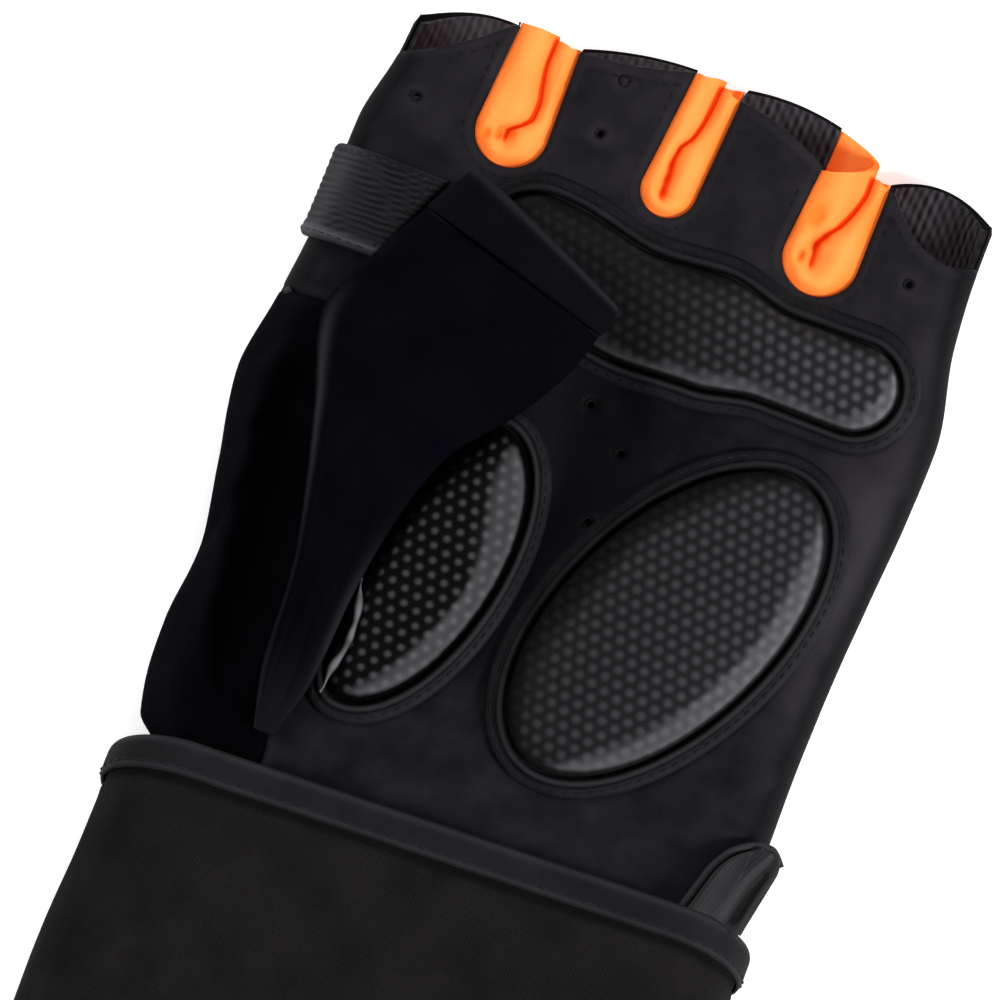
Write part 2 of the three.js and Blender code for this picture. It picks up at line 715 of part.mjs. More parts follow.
// Point of the wrap at a distance down from its top edge, or up from its lower edge if fromEnd is set
function wrapPlace(turn, distance, inset, fromEnd) {
  const down = (fromEnd ? wrapWidth - distance : distance) / wrapWidth;
  const { x, z } = wrapPoint(turn, clamp(down, 0, 1), inset);
  return [x, wrapTopY(x, z) - down * wrapWidth, z];
}

// Elastic wrap, wound once round with its ends lapped underneath
function wristWrap() {
  const tuck = bindingWall + seamGap;
  const side = (inset) => wrapPlaces().map((turn) => (
    steps(3).map((t) => wrapPlace(turn, lerp(tuck, wrapWidth - tuck, t), inset, false))
  ));
  return wall(side(tuck), side(tuck + wrapWall));
}

// Folded tape round one edge of the wrap
function wrapBinding(fromEnd) {
  const depth = wrapWall + 2 * bindingWall + 2 * seamGap;
  const outer = [[bindingWidth, 0], [0, 0], [0, depth], [bindingWidth, depth]];
  const fold = [
    [bindingWidth, bindingWall],
    [bindingWall, bindingWall],
    [bindingWall, depth - bindingWall],
    [bindingWidth, depth - bindingWall],
  ];
  const place = (turn) => ([distance, inset]) => wrapPlace(turn, distance, inset, fromEnd);
  const grid = (profile) => wrapPlaces().map((turn) => profile.map(place(turn)));
  return wall(grid(outer), grid(fold));
}

// Fastening tab, flat under the wrap's lapped end
function closureTab() {
  const shape = new THREE.BoxGeometry(tabSpan, tabWidth, tabWall);
  const lapped = tabSpan / 8;
  const start = wrapPoint(wrapTurns.end, 0.5, 0).x - lapped;
  const middle = wrapTopY(0, 0) - wrapWidth / 2;
  shape.translate(start + tabSpan / 2, middle, tabWall / 2);
  return shape;
}

// Place on the pull loop: far runs out from the wrap and aside runs across, in millimetres
function loopPlace(far, aside, lift) {
  const lean = degToRad(loopRoot.lean);
  const rootX = across(loopRoot.x);
  const clear = seatGap + loopWall + (loopWidth / 2) * Math.sin(lean);
  const rootY = wrapTopY(rootX, wrapHeight * loopRoot.level) + clear;
  const x = rootX + far * Math.sin(lean) + aside * Math.cos(lean);
  const y = rootY + far * Math.cos(lean) - aside * Math.sin(lean);
  const rest = palmTop(Math.min(x, handAt(y).right - loopRoot.brim * sideRound), y) + seatGap;
  return [x, y, rest + lift];
}

// Folded strap: out along the hand, round its tip and back on top
function pullLoop() {
  const half = loopWidth / 2;
  const path = [
    ...steps(3).map((t) => ({ far: t * loopLength, lift: 0, out: 0, up: -1 })),
    ...steps(4).slice(1, -1).map((t) => {
      const angle = (t - 0.5) * Math.PI;
      const [out, up] = [Math.cos(angle), Math.sin(angle)];
      return { far: loopLength + loopFold * out, lift: loopFold * (1 + up), out, up };
    }),
    ...steps(3).map((t) => ({ far: (1 - t) * loopLength, lift: 2 * loopFold, out: 0, up: 1 })),
  ];
  const side = (offset) => steps(4).map((s) => path.map(({ far, lift, out, up }) => (
    loopPlace(far + out * offset, lerp(-half, half, s), lift + loopWall / 2 + up * offset)
  )));
  return wall(side(loopWall / 2), side(-loopWall / 2));
}

// Corded edge of the pull loop
function loopPiping() {
  const half = loopWidth / 2 + pipingBore / 2 + seamGap;
  const tip = loopLength + loopFold + loopWall / 2 + pipingBore / 2 + seamGap;
  const bend = pipingBore;
  const straight = tip - bend;
  const path = [
    ...steps(3).map((t) => [t * straight, -half]),
    ...steps(4).slice(1).map((t) => {
      const angle = (t * Math.PI) / 2;
      return [straight + bend * Math.sin(angle), -half + bend * (1 - Math.cos(angle))];
    }),
    [tip, half * 0.5],
  ];
  const lift = loopFold + loopWall / 2;
  const points = path.map(([far, aside]) => new THREE.Vector3(...loopPlace(far, aside, lift)));
  const rings = points.map((point, k) => {
    const before = points[Math.max(0, k - 1)];
    const next = points[Math.min(points.length - 1, k + 1)];
    const ahead = next.clone().sub(before).normalize();
    const aside = new THREE.Vector3(0, 0, 1).cross(ahead).normalize();
    const over = ahead.clone().cross(aside);
    return range(8, (n) => {
      const angle = (n * Math.PI) / 4;
      const spoke = aside.clone().multiplyScalar(Math.cos(angle)).addScaledVector(over, Math.sin(angle));
      return point.clone().addScaledVector(spoke, pipingBore / 2).toArray();
    });
  });
  return loft(rings, fanCap(8));
}

// Round cutter for one vent hole
function ventCutter(vent) {
  const circle = range(8, (k) => {
    const angle = (k * Math.PI) / 4;
    return [
      across(vent.x) + (ventBore / 2) * Math.cos(angle),
      along(vent.at) + (ventBore / 2) * Math.sin(angle),
    ];
  });
  return cutter(circle, upward(0.4));
}

// Finishes
const palmCloth = { color: 0x232023, roughness: 0.85, metalness: 0 };
const backCloth = { color: 0x1c1a1d, roughness: 0.9, metalness: 0 };
const gussetCloth = { color: 0x0a0a0c, roughness: 0.95, metalness: 0 };
const sleeveCloth = { color: 0x141216, roughness: 0.9, metalness: 0 };
const orangeCloth = { color: 0xfa8c3c, roughness: 0.7, metalness: 0 };
const padLeather = { color: 0x232226, roughness: 0.45, metalness: 0 };
const weltCloth = { color: 0x1d1b1f, roughness: 0.6, metalness: 0 };
const meshKnit = { color: 0x3a363c, roughness: 0.85, metalness: 0 };
const ribbedKnit = { color: 0x2c2a2e, roughness: 0.75, metalness: 0 };
const wrapElastic = { color: 0x1d1a1c, roughness: 0.9, metalness: 0 };
const bindingTape = { color: 0x19171b, roughness: 0.7, metalness: 0 };
const loopTape = { color: 0x46454a, roughness: 0.6, metalness: 0 };

const glove = new THREE.Group();

function addPiece(name, shape, finish) {
  const geometry = shape instanceof THREE.BufferGeometry ? shape : toGeometry(shape);
  const mesh = new THREE.Mesh(geometry, new THREE.MeshStandardMaterial(finish));
  mesh.name = name;
  glove.add(mesh);
}

// The hand
const slotCutters = slots.map(slotCutter);
const thumbHoleSolid = thumbHoleCutter();
const upperShell = subtractAll(handShell(palmTop, 22, 22), [...slotCutters, endCutter("palm")]);
const gussetCut = gussetCutter(seamGap / 2);
const palmCuts = [gussetCut, thumbHoleSolid, ...vents.map(ventCutter)];
addPiece("palm_panel", subtractAll(upperShell, palmCuts), palmCloth);
addPiece("side_gusset", upperShell.intersect(gussetCutter(-seamGap / 2)), gussetCloth);
const backShell = handShell(backUnder, 14, 22);
addPiece("back_panel", subtractAll(backShell, [...slotCutters, endCutter("back")]), backCloth);
slots.forEach((slot, k) => addPiece(slot.name, fourchette(slot, fingers[k], fingers[k + 1]), orangeCloth));
fingers.forEach((finger) => addPiece(finger.name, facing(finger), meshKnit));
addPiece("index_patch", indexPatch(), ribbedKnit);

// The thumb sleeve and its hem
const sleeveHollow = sleeveCore(cavityStart, hemStart + 0.03, sleeveWall, 9);
const sleeveBody = sleeveCore(0, hemStart, 0, 11).subtract(sleeveHollow);
addPiece("thumb_sleeve", sleeveBody.subtract(thumbHoleSolid), sleeveCloth);
const hemBore = sleeveCore(hemStart - 0.02, 1, hemWall - hemProud, 2);
const hemFrom = hemStart + seamGap / fingerLength;
addPiece("thumb_hem", sleeveCore(hemFrom, hemEnd, -hemProud, 2).subtract(hemBore), sleeveCloth);

// The pads
for (const pad of pads) {
  addPiece(`${pad.name}_pad`, gripPad(pad), padLeather);
  addPiece(`${pad.name}_welt`, welt(pad), weltCloth);
}

// The wrist
addPiece("wrist_wrap", wristWrap(), wrapElastic);
addPiece("wrap_binding_top", wrapBinding(false), bindingTape);
addPiece("wrap_binding_bottom", wrapBinding(true), bindingTape);
addPiece("closure_tab", closureTab(), bindingTape);
addPiece("pull_loop", pullLoop(), loopTape);
addPiece("loop_piping", loopPiping(), bindingTape);

export default glove;
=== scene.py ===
import math

import bpy
import numpy as np
from mathutils import Matrix, Vector


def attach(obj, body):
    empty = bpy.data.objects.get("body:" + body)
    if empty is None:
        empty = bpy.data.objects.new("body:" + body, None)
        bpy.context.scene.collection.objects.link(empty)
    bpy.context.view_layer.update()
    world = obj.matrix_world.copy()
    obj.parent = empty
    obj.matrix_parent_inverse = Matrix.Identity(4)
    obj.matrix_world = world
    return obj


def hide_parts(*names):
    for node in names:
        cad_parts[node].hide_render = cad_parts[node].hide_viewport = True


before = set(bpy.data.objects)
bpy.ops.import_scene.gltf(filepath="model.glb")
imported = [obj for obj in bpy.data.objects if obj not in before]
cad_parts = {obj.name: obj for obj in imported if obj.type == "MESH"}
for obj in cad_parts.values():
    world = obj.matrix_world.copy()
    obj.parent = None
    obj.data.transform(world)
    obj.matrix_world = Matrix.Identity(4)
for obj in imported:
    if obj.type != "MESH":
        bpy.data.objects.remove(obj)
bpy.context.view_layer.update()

MM = 0.001

# Sizes of the hand, as the solids have them
HAND_WIDTH = 108
HAND_LENGTH = 105
ORIGIN_ALONG = 0.41
HAND_HEIGHT = 22
SIDE_ROUND = 9
FINGER_LENGTH = 28
FABRIC_WALL = 1.6
FOURCHETTE_WALL = 1.2
FACING_WALL = 0.7
FACING_LENGTH = 12
PATCH_WALL = 1.3

# Sizes of the sleeve, the pads and the welts
SLEEVE_WALL = 1.5
SLEEVE_ROUNDNESS = 2.6
HEM_WALL = 1.2
HEM_PROUD = 0.4
PAD_HEIGHT = 5.5
PAD_SHOULDER = 5
PAD_RIM = 0.8
WELT_WIDTH = 3.3
WELT_HEIGHT = 1.6

# Sizes of the wrist wrap and the pull loop
WRAP_SPAN = 114
WRAP_HEIGHT = 28.5
WRAP_WIDTH = 75
WRAP_WALL = 2
BINDING_WALL = 0.8
BINDING_WIDTH = 6.3
LOOP_LENGTH = 14
LOOP_WIDTH = 10
LOOP_WALL = 1.2
LOOP_FOLD = 1.7
PIPING_BORE = 1.4

# Clearances: between sewn pieces, under the pads, under the sleeve and over the table
SEAM_GAP = 0.3
SEAT_GAP = 0.45
REST_GAP = 0.8
TABLE_GAP = 0.03

# A whole turn, rounded, by which ripples and ribs are counted
TURN = 6.28


def table(names, *rows):
    """Rows of numbers as named columns."""
    grid = np.array(rows, float)
    return {name: grid[:, k] for k, name in enumerate(names.split())}


# Hand sections from the wrist seam (0) to the finger webs (1): shares of half the width and of the height
HAND = table(
    "at left right palm seam back",
    (-0.18, -0.86, 0.85, 1.08, 0.73, 0.42),
    (-0.045, -0.9, 0.875, 1.07, 0.72, 0.42),
    (0, -0.985, 0.91, 1.05, 0.66, 0.33),
    (0.1, -1.018, 0.955, 0.98, 0.48, 0.06),
    (0.15, -1.02, 0.96, 0.96, 0.45, 0),
    (0.27, -1, 0.957, 0.92, 0.43, 0),
    (0.41, -1.04, 0.963, 0.9, 0.42, 0),
    (0.57, -1.09, 0.98, 0.9, 0.42, 0),
    (0.7, -1.052, 0.998, 0.9, 0.42, 0),
    (0.83, -1.027, 1.005, 0.88, 0.41, 0),
    (1, -1.02, 0.945, 0.82, 0.39, 0),
    (1.12, -0.975, 0.93, 0.82, 0.42, 0.04),
    (1.21, -0.96, 0.93, 0.86, 0.48, 0.12),
    (1.29, -0.95, 0.925, 0.92, 0.56, 0.2),
)

# Mounds and valleys: x, place along, half length, half width, tilt from +Y in degrees, height
PALM_FORMS = (
    (0.43, 0.43, 0.34, 0.37, 26, 0.07),
    (-0.35, 0.37, 0.31, 0.33, 12, 0.07),
    (-0.02, 0.58, 0.29, 0.26, 0, -0.18),
    (0.19, 0.89, 0.43, 0.22, 90, 0.05),
)
GUSSET_VALLEY = (-0.84, 0.34, 0.42, 0.125, -7, -0.36)
FINGER_DIP = 0.11
DIP_SET_IN = 0.1

# Finger slots: x and place of the round bottom, half width there and at the end, lean
SLOTS = (
    (-0.561, 1.007, 0.113, 0.093, 0.03),
    (-0.048, 1.022, 0.087, 0.078, 0.085),
    (0.463, 0.991, 0.119, 0.102, 0.05),
)

# Fingers: x, half width, then middle, tilt and crown of the end's edge on the palm and on the back
FINGERS = (
    (-0.815, 0.167, (0.6, 0.2, -0.06), (0.839, 0.093, 0.064)),
    (-0.278, 0.176, (0.852, 0.063, -0.027), (0.964, 0.063, 0.027)),
    (0.222, 0.167, (0.815, -0.102, 0.034), (1.022, -0.005, 0.035)),
    (0.769, 0.176, (0.436, -0.116, -0.163), (0.857, -0.036, 0.107)),
)
FINGER_NAMES = ("index", "middle", "ring", "little")

GUSSET_SEAM = table(
    "at x",
    (-0.2, -0.574), (0, -0.583), (0.13, -0.635), (0.286, -0.657), (0.43, -0.713), (0.55, -0.778),
    (0.72, -0.87),
)
GUSSET_TOP = 0.705

# Thumb sleeve from its root to its end
SLEEVE = table(
    "at leftX leftY leftZ leftRise rightX rightY rightZ rightRise",
    (0, -0.64, 0.04, 1.15, 0.02, -0.575, 0.04, 1.15, 0.02),
    (0.12, -0.685, 0.143, 1.155, 0.11, -0.522, 0.143, 1.155, 0.11),
    (0.27, -0.704, 0.286, 1.12, 0.26, -0.5, 0.286, 1.33, 0.12),
    (0.42, -0.76, 0.429, 1.11, 0.28, -0.463, 0.41, 1.36, 0.14),
    (0.55, -0.825, 0.553, 1.11, 0.32, -0.389, 0.534, 1.39, 0.16),
    (0.7, -0.9, 0.696, 1.11, 0.3, -0.222, 0.648, 1.38, 0.18),
    (0.83, -0.796, 0.82, 1.25, 0.3, -0.111, 0.753, 1.43, 0.26),
    (1, -0.593, 1, 1.32, 0.31, -0.056, 0.867, 1.47, 0.29),
)
HEM_START = 0.9
HEM_END = 0.985
CAVITY_START = 0.12
HOLE_START, HOLE_END, HOLE_REACH = 0.2, 0.7, 0.62

# Grip pads: centre, half length, tilt, end rounding, middle line and half widths
PADS = {
    "bar": (0.167, 0.881, 0.343, 90, 0.071, table(
        "at middle left right",
        (-1, -0.048, 0.062, 0.062),
        (-0.583, -0.01, 0.09, 0.09),
        (-0.25, 0.01, 0.088, 0.088),
        (0.083, 0.003, 0.09, 0.09),
        (0.417, 0.005, 0.069, 0.069),
        (1, 0.003, 0.071, 0.071),
    )),
    "thumb": (-0.343, 0.377, 0.249, 12.2, 0.249, table(
        "at middle left right", (-1, 0, 0.071, 0.12), (1, 0, 0.071, 0.12),
    )),
    "heel": (0.424, 0.425, 0.308, 26.5, 0.308, table(
        "at middle left right", (-1, 0, 0.161, 0.161), (1, 0, 0.161, 0.161),
    )),
}

# Ribbed patch: places along of its ends, and x of its inner edge at each
PATCH_LOW, PATCH_HIGH, PATCH_LOW_X, PATCH_HIGH_X = 0.796, 0.953, -0.815, -0.68

# Vents: x and place along
VENTS = (
    (-0.87, 1.062), (-0.306, 1.107), (-0.293, 1.2), (0.741, 1.058),
    (0.1, 0.651), (0.083, 0.534), (-0.03, 0.705),
)
VENT_BORE = 1.3

# Wrist wrap: its span down its width, its top edge, and the places round it where its layers settle
WRAP_SHARES = table("at span", (0, 0.975), (0.33, 0.99), (0.66, 1), (1, 0.975))
WRAP_EDGE_AT, WRAP_EDGE_RISE, WRAP_EDGE_LEAN = -0.033, 0.043, 0.024
WRAP_START, WRAP_INNER_END, WRAP_SETTLED, WRAP_END = -0.85, -0.36, -0.02, 3.6

# Pull loop: x of its root, its lean in degrees, its level on the wrap, and how near the palm's side it bears
LOOP_ROOT_X, LOOP_LEAN, LOOP_LEVEL, LOOP_BRIM = 0.87, 16, 0.72, 0.28


def across(share):
    """Share of half the hand's width, in millimetres."""
    return share * HAND_WIDTH / 2


def along(share):
    """Place between the wrist seam (0) and the finger webs (1), in millimetres."""
    return (share - ORIGIN_ALONG) * HAND_LENGTH


def upward(share):
    """Share of the hand's height, in millimetres."""
    return share * HAND_HEIGHT


def lerp(a, b, t):
    """Straight blend from a to b."""
    return a + (b - a) * t


def smooth(t):
    """3 t squared minus 2 t cubed, with t held between 0 and 1."""
    t = np.clip(t, 0, 1)
    return t * t * (3 - 2 * t)


def column(rows, name, place):
    """Cubic through a table's rows that never overshoots them: a row's slope is the harmonic mean of the
    two secants beside it, or 0 where these change sign."""
    at, value = rows["at"], rows[name]
    secant = np.diff(value) / np.diff(at)
    product = secant[:-1] * secant[1:]
    mean = np.where(product > 0, 2 * product / np.where(product > 0, secant[:-1] + secant[1:], 1), 0)
    slope = np.concatenate([secant[:1], mean, secant[-1:]])
    place = np.clip(place, at[0], at[-1])
    i = np.clip(np.searchsorted(at, place, side="left") - 1, 0, len(at) - 2)
    span = at[i + 1] - at[i]
    t = (place - at[i]) / span
    bend = t * (1 - t) * ((1 - t) * slope[i] - t * slope[i + 1]) * span
    return value[i] + (value[i + 1] - value[i]) * t * t * (3 - 2 * t) + bend


def hand_at(y):
    """Left side, right side, palm height, seam height and back height of the section at y."""
    at = y / HAND_LENGTH + ORIGIN_ALONG
    sides = [across(column(HAND, name, at)) for name in ("left", "right")]
    return sides + [upward(column(HAND, name, at)) for name in ("palm", "seam", "back")]


def bell(distance, size):
    """Bell curve: 1 at no distance and 0.37 at one size away."""
    return np.exp(-(distance / size) ** 2)


def shoulder(distance, bend):
    """Quarter circle: 0 at the side, 1 from one radius inwards."""
    short = 1 - np.clip(distance / bend, 0, 1)
    return np.sqrt(1 - short * short)


def form_height(form, x, y):
    """Mound: the square of 1 minus the squared distances along and across it, each over its half size."""
    form_x, at, long, wide, tilt, high = form
    turn = math.radians(tilt)
    dx = x - across(form_x)
    dy = y - along(at)
    far = (dx * math.sin(turn) + dy * math.cos(turn)) / (long * HAND_LENGTH)
    aside = (dx * math.cos(turn) - dy * math.sin(turn)) / across(wide)
    return upward(high) * np.maximum(0, 1 - far * far - aside * aside) ** 2


def palm_relief(x, y, valley=True):
    """All mounds and valleys, and the dips between the finger rows, which are bell curves across."""
    relief = sum(form_height(form, x, y) for form in PALM_FORMS)
    if valley:
        relief = relief + form_height(GUSSET_VALLEY, x, y)
    for slot_x, at, *_ in SLOTS:
        started = np.clip((y / HAND_LENGTH + ORIGIN_ALONG - at) / DIP_SET_IN + 0.5, 0, 1)
        aside = (x - across(slot_x)) / across(SLOTS[0][2])
        relief = relief - upward(FINGER_DIP) * started * np.exp(-aside * aside / 2)
    return relief


def palm_top(x, y, valley=True):
    """Top of the palm: it rises from the side seam by a quarter circle."""
    left, right, palm, seam, _ = hand_at(y)
    distance = np.minimum(x - left, right - x)
    return seam + (palm + palm_relief(x, y, valley) - seam) * shoulder(distance, SIDE_ROUND)


def back_under(x, y):
    """Underside of the back: it falls from the side seam by a quarter circle."""
    left, right, _, seam, back = hand_at(y)
    distance = np.minimum(x - left, right - x)
    return seam - (seam - back) * shoulder(distance, SIDE_ROUND)


def ripple(x, y, wavelength, seed, waves=7):
    """Soft random relief of about -1 to 1: the sum of sine waves in random directions."""
    draw = np.random.default_rng(seed)
    turns, starts = draw.uniform(0, TURN, waves), draw.uniform(0, TURN, waves)
    stretches = draw.uniform(0.7, 1.5, waves)
    total = 0
    for turn, start, stretch in zip(turns, starts, stretches):
        total = total + np.sin(TURN * (x * np.cos(turn) + y * np.sin(turn)) / (wavelength * stretch) + start)
    return total / math.sqrt(waves)


def creases(x, y, lines):
    """Folds: each line's depth falls off by a bell curve of the distance and fades towards its ends."""
    relief = 0
    for x0, y0, x1, y1, wide, deep in lines:
        dx, dy = x1 - x0, y1 - y0
        t = ((x - x0) * dx + (y - y0) * dy) / (dx * dx + dy * dy)
        aside = ((x - x0) * dy - (y - y0) * dx) / math.hypot(dx, dy)
        relief = relief - deep * bell(aside, wide) * np.sin(np.pi * np.clip(t, 0, 1))
    return relief


# Meshes

def grid_faces(rows, columns, close_columns=False, close_rows=False):
    """Quads of a grid of points."""
    index = np.arange(rows * columns).reshape(rows, columns)
    if close_columns:
        index = np.concatenate([index, index[:, :1]], axis=1)
    if close_rows:
        index = np.concatenate([index, index[:1]], axis=0)
    quads = np.stack([index[:-1, :-1], index[:-1, 1:], index[1:, 1:], index[1:, :-1]], -1)
    return quads.reshape(-1, 4)


def unit(vectors):
    """Vectors over their lengths."""
    return vectors / np.maximum(np.linalg.norm(vectors, axis=-1, keepdims=True), 1e-9)


def grid_normals(points, closed=False):
    """Unit normals of a grid: the cross product of its two directions."""
    if closed:
        wide = np.concatenate([points[:, -1:], points, points[:, :1]], axis=1)
        return grid_normals(wide)[:, 1:-1]
    return unit(np.cross(np.gradient(points, axis=1), np.gradient(points, axis=0)))


def grid_uv(points):
    """Distances along a grid's rows and columns, measured from its middle."""
    def run(axis):
        step = np.linalg.norm(np.diff(points, axis=axis), axis=-1)
        start = np.zeros_like(np.take(step, [0], axis=axis))
        total = np.concatenate([start, np.cumsum(step, axis=axis)], axis=axis)
        return total - np.take(total, [points.shape[axis] // 2], axis=axis)
    return np.stack([run(1), run(0)], -1).reshape(-1, 2)


def open_edges(faces, count):
    """Edges of the faces that only one face uses. Every edge has the number low vertex times count plus
    high vertex."""
    edges = np.concatenate([faces[:, [k, (k + 1) % 4]] for k in range(4)])
    edges = edges[edges[:, 0] != edges[:, 1]]
    low_high = np.sort(edges, axis=1)
    number = low_high[:, 0] * count + low_high[:, 1]
    _, first, uses = np.unique(number, return_index=True, return_counts=True)
    return edges[first[uses == 1]]


def thicken(outer, inner, faces):
    """Closed shell: the outer faces, the inner ones turned round, and a quad at every open edge."""
    count = len(outer)
    rim = open_edges(faces, count)
    side = np.stack([rim[:, 1], rim[:, 0], rim[:, 0] + count, rim[:, 1] + count], 1)
    return np.concatenate([outer, inner]), np.concatenate([faces, faces[:, ::-1] + count, side])


def make_piece(name, points, faces, slot, nodes=(), uv=None, painted_light_and_wear=None, crisp=50):
    """Mesh object from points in millimetres. The volume that the faces enclose is summed from the corners'
    triple products, and where it is negative the faces are turned. The piece rides on the one body."""
    used, index = np.unique(faces, return_inverse=True)
    faces = index.reshape(faces.shape)
    points = np.array(points)[used]
    points[:, 2] = np.maximum(points[:, 2], TABLE_GAP)
    corner = points[faces]
    volume = np.einsum("ij,ij->", corner[:, 0], np.cross(corner[:, 1], corner[:, 2]))
    volume += np.einsum("ij,ij->", corner[:, 0], np.cross(corner[:, 2], corner[:, 3]))
    if volume < 0:
        faces = faces[:, ::-1]
    name = name + "_soft" if nodes else name
    mesh = bpy.data.meshes.new(name)
    mesh.from_pydata((points * MM).tolist(), [], faces.tolist())
    order = np.zeros(len(mesh.loops), int)
    mesh.loops.foreach_get("vertex_index", order)
    places = np.zeros((len(points), 2)) if uv is None else np.asarray(uv, float)[used]
    mesh.uv_layers.new(name="weave").data.foreach_set("uv", places[order].ravel())
    lit_and_worn = np.zeros(len(points)) if painted_light_and_wear is None else np.asarray(painted_light_and_wear, float)[used]
    # Lightness of each point, which carries painted light and shade as well as wear
    mesh.attributes.new("painted_light_and_wear", "FLOAT", "POINT").data.foreach_set("value", lit_and_worn)
    mesh.shade_smooth()
    mesh.set_sharp_from_angle(angle=math.radians(crisp))
    piece = bpy.data.objects.new(name, mesh)
    bpy.context.collection.objects.link(piece)
    mesh.materials.append(MATERIALS[slot])
    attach(piece, "root")
    if nodes:
        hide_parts(*nodes)
    return piece


def shell_piece(name, outer, inner, slot, nodes=(), faces=None, painted_light_and_wear=None, close=False, crisp=50):
    """Closed shell between two grids of points."""
    rows, columns = outer.shape[:2]
    if faces is None:
        faces = grid_faces(rows, columns, close)
    uv = np.tile(grid_uv(outer), (2, 1))
    points, faces = thicken(outer.reshape(-1, 3), inner.reshape(-1, 3), faces)
    lit_and_worn = None if painted_light_and_wear is None else np.tile(np.broadcast_to(painted_light_and_wear, (rows, columns)).ravel(), 2)
    return make_piece(name, points, faces, slot, nodes, uv, lit_and_worn, crisp)


def tube_points(path, radius, sides=10):
    """Rings round a path: each point's ring lies across the path's direction there."""
    ahead = unit(np.gradient(path, axis=0))
    aside = unit(np.cross(np.broadcast_to([0.0, 0.0, 1.0], ahead.shape), ahead))
    over = np.cross(ahead, aside)
    angle = np.linspace(0, 2 * np.pi, sides, endpoint=False)
    spoke = np.cos(angle)[None, :, None] * aside[:, None] + np.sin(angle)[None, :, None] * over[:, None]
    return path[:, None] + spoke * np.reshape(radius, (-1, 1, 1))


# Threads sewn so far, and how light each group of them is
THREADS = {}
THREAD_WEAR = {"tack": 1.0, "palm": 0.3, "sleeve": 0.05, "wrap": 0.25}
THREAD_SIDES = 6

# A thread's rings: share of its length, of its girth, and height over the cloth in thicknesses
SPINDLE_AT = np.array([0, 0.16, 0.5, 0.84, 1])
SPINDLE_GIRTH = np.array([0.12, 0.8, 1, 0.8, 0.12])
SPINDLE_RISE = np.array([-0.7, 0.05, 0.25, 0.05, -0.7])

# Stitch sizes: distance from start to start, length and thickness
CLOTH_STITCH = {"pitch": 2.1, "long": 1.5, "thick": 0.26}
PATCH_STITCH = {"pitch": 1.9, "long": 1.4, "thick": 0.18}
WELT_STITCH = {"pitch": 2.1, "long": 1.6, "thick": 0.3}
SLEEVE_STITCH = {"pitch": 2.0, "long": 1.4, "thick": 0.26}
TACK_STITCH = {"pitch": 2.6, "long": 2.2, "thick": 0.5}
WRAP_STITCH = {"pitch": 2.6, "long": 2.0, "thick": 0.34}


def sew(group, path, up, pitch, long, thick, start=0.5):
    """Threads along a path: each is a five-ring spindle with its ends sunk into the cloth."""
    step = np.linalg.norm(np.diff(path, axis=0), axis=1)
    at = np.concatenate([[0], np.cumsum(step)])
    starts = np.arange(start * pitch, at[-1] - long, pitch)
    if not len(starts):
        return
    girth = SPINDLE_GIRTH * thick / 2
    rise = SPINDLE_RISE * thick
    place = starts[:, None] + SPINDLE_AT * long

    def sample(values):
        return np.stack([np.interp(place, at, values[:, k]) for k in range(3)], -1)

    centre, over = sample(path), unit(sample(np.broadcast_to(up, path.shape)))
    ahead = unit(np.gradient(centre, axis=1))
    side = np.cross(over, ahead)
    angle = np.linspace(0, 2 * np.pi, THREAD_SIDES, endpoint=False)
    ring = np.cos(angle)[:, None] * side[:, :, None] + np.sin(angle)[:, None] * over[:, :, None]
    points = (centre + over * rise[:, None])[:, :, None] + ring * girth[:, None, None]
    first = np.arange(len(starts)) * len(SPINDLE_AT) * THREAD_SIDES
    faces = grid_faces(len(SPINDLE_AT), THREAD_SIDES, True) + first[:, None, None]
    THREADS.setdefault(group, []).append((points.reshape(-1, 3), faces.reshape(-1, 4)))


def finish_threads(group, name, slot):
    """All the threads of a group as one piece."""
    points, faces, count = [], [], 0
    for place, quads in THREADS[group]:
        points.append(place)
        faces.append(quads + count)
        count += len(place)
    points = np.concatenate(points)
    painted_light_and_wear = np.full(count, THREAD_WEAR[group])
    make_piece(name, points, np.concatenate(faces), slot, uv=points[:, :2], painted_light_and_wear=painted_light_and_wear, crisp=80)


# Materials

def node(tree, kind, links=None, **settings):
    """Shader node with its settings, and its inputs set to values or linked to sockets."""
    item = tree.nodes.new(kind)
    for key, value in settings.items():
        setattr(item, key, value)
    for key, value in (links or {}).items():
        if isinstance(value, bpy.types.NodeSocket):
            tree.links.new(value, item.inputs[key])
        else:
            item.inputs[key].default_value = value
    return item


def calc(tree, operation, *values):
    """Math node's result."""
    return node(tree, "ShaderNodeMath", dict(enumerate(values)), operation=operation).outputs[0]


def pattern_group(name, build):
    """Node group that turns Coordinates and a Pitch, both in millimetres, into a Height and a Tone."""
    group = bpy.data.node_groups.new(name, "ShaderNodeTree")
    group.interface.new_socket("Coordinates", in_out="INPUT", socket_type="NodeSocketVector")
    group.interface.new_socket("Pitch", in_out="INPUT", socket_type="NodeSocketFloat")
    group.interface.new_socket("Height", in_out="OUTPUT", socket_type="NodeSocketFloat")
    group.interface.new_socket("Tone", in_out="OUTPUT", socket_type="NodeSocketFloat")
    source = group.nodes.new("NodeGroupInput")
    place, pitch = source.outputs["Coordinates"], source.outputs["Pitch"]
    height, tone = build(group, place, pitch)
    sink = group.nodes.new("NodeGroupOutput")
    group.links.new(height, sink.inputs["Height"])
    group.links.new(tone, sink.inputs["Tone"])
    return group


def noise(tree, place, scale, detail=2.0):
    """Noise of about 0 to 1, with scale waves to the millimetre."""
    values = {"Vector": place, "Scale": scale, "Detail": detail}
    return node(tree, "ShaderNodeTexNoise", values).outputs["Fac"]


def cells(tree, place, pitch):
    """Distance from the middle of the nearest of many cells a pitch apart."""
    values = {"Vector": place, "Scale": calc(tree, "DIVIDE", 1.0, pitch)}
    return node(tree, "ShaderNodeTexVoronoi", values).outputs["Distance"]


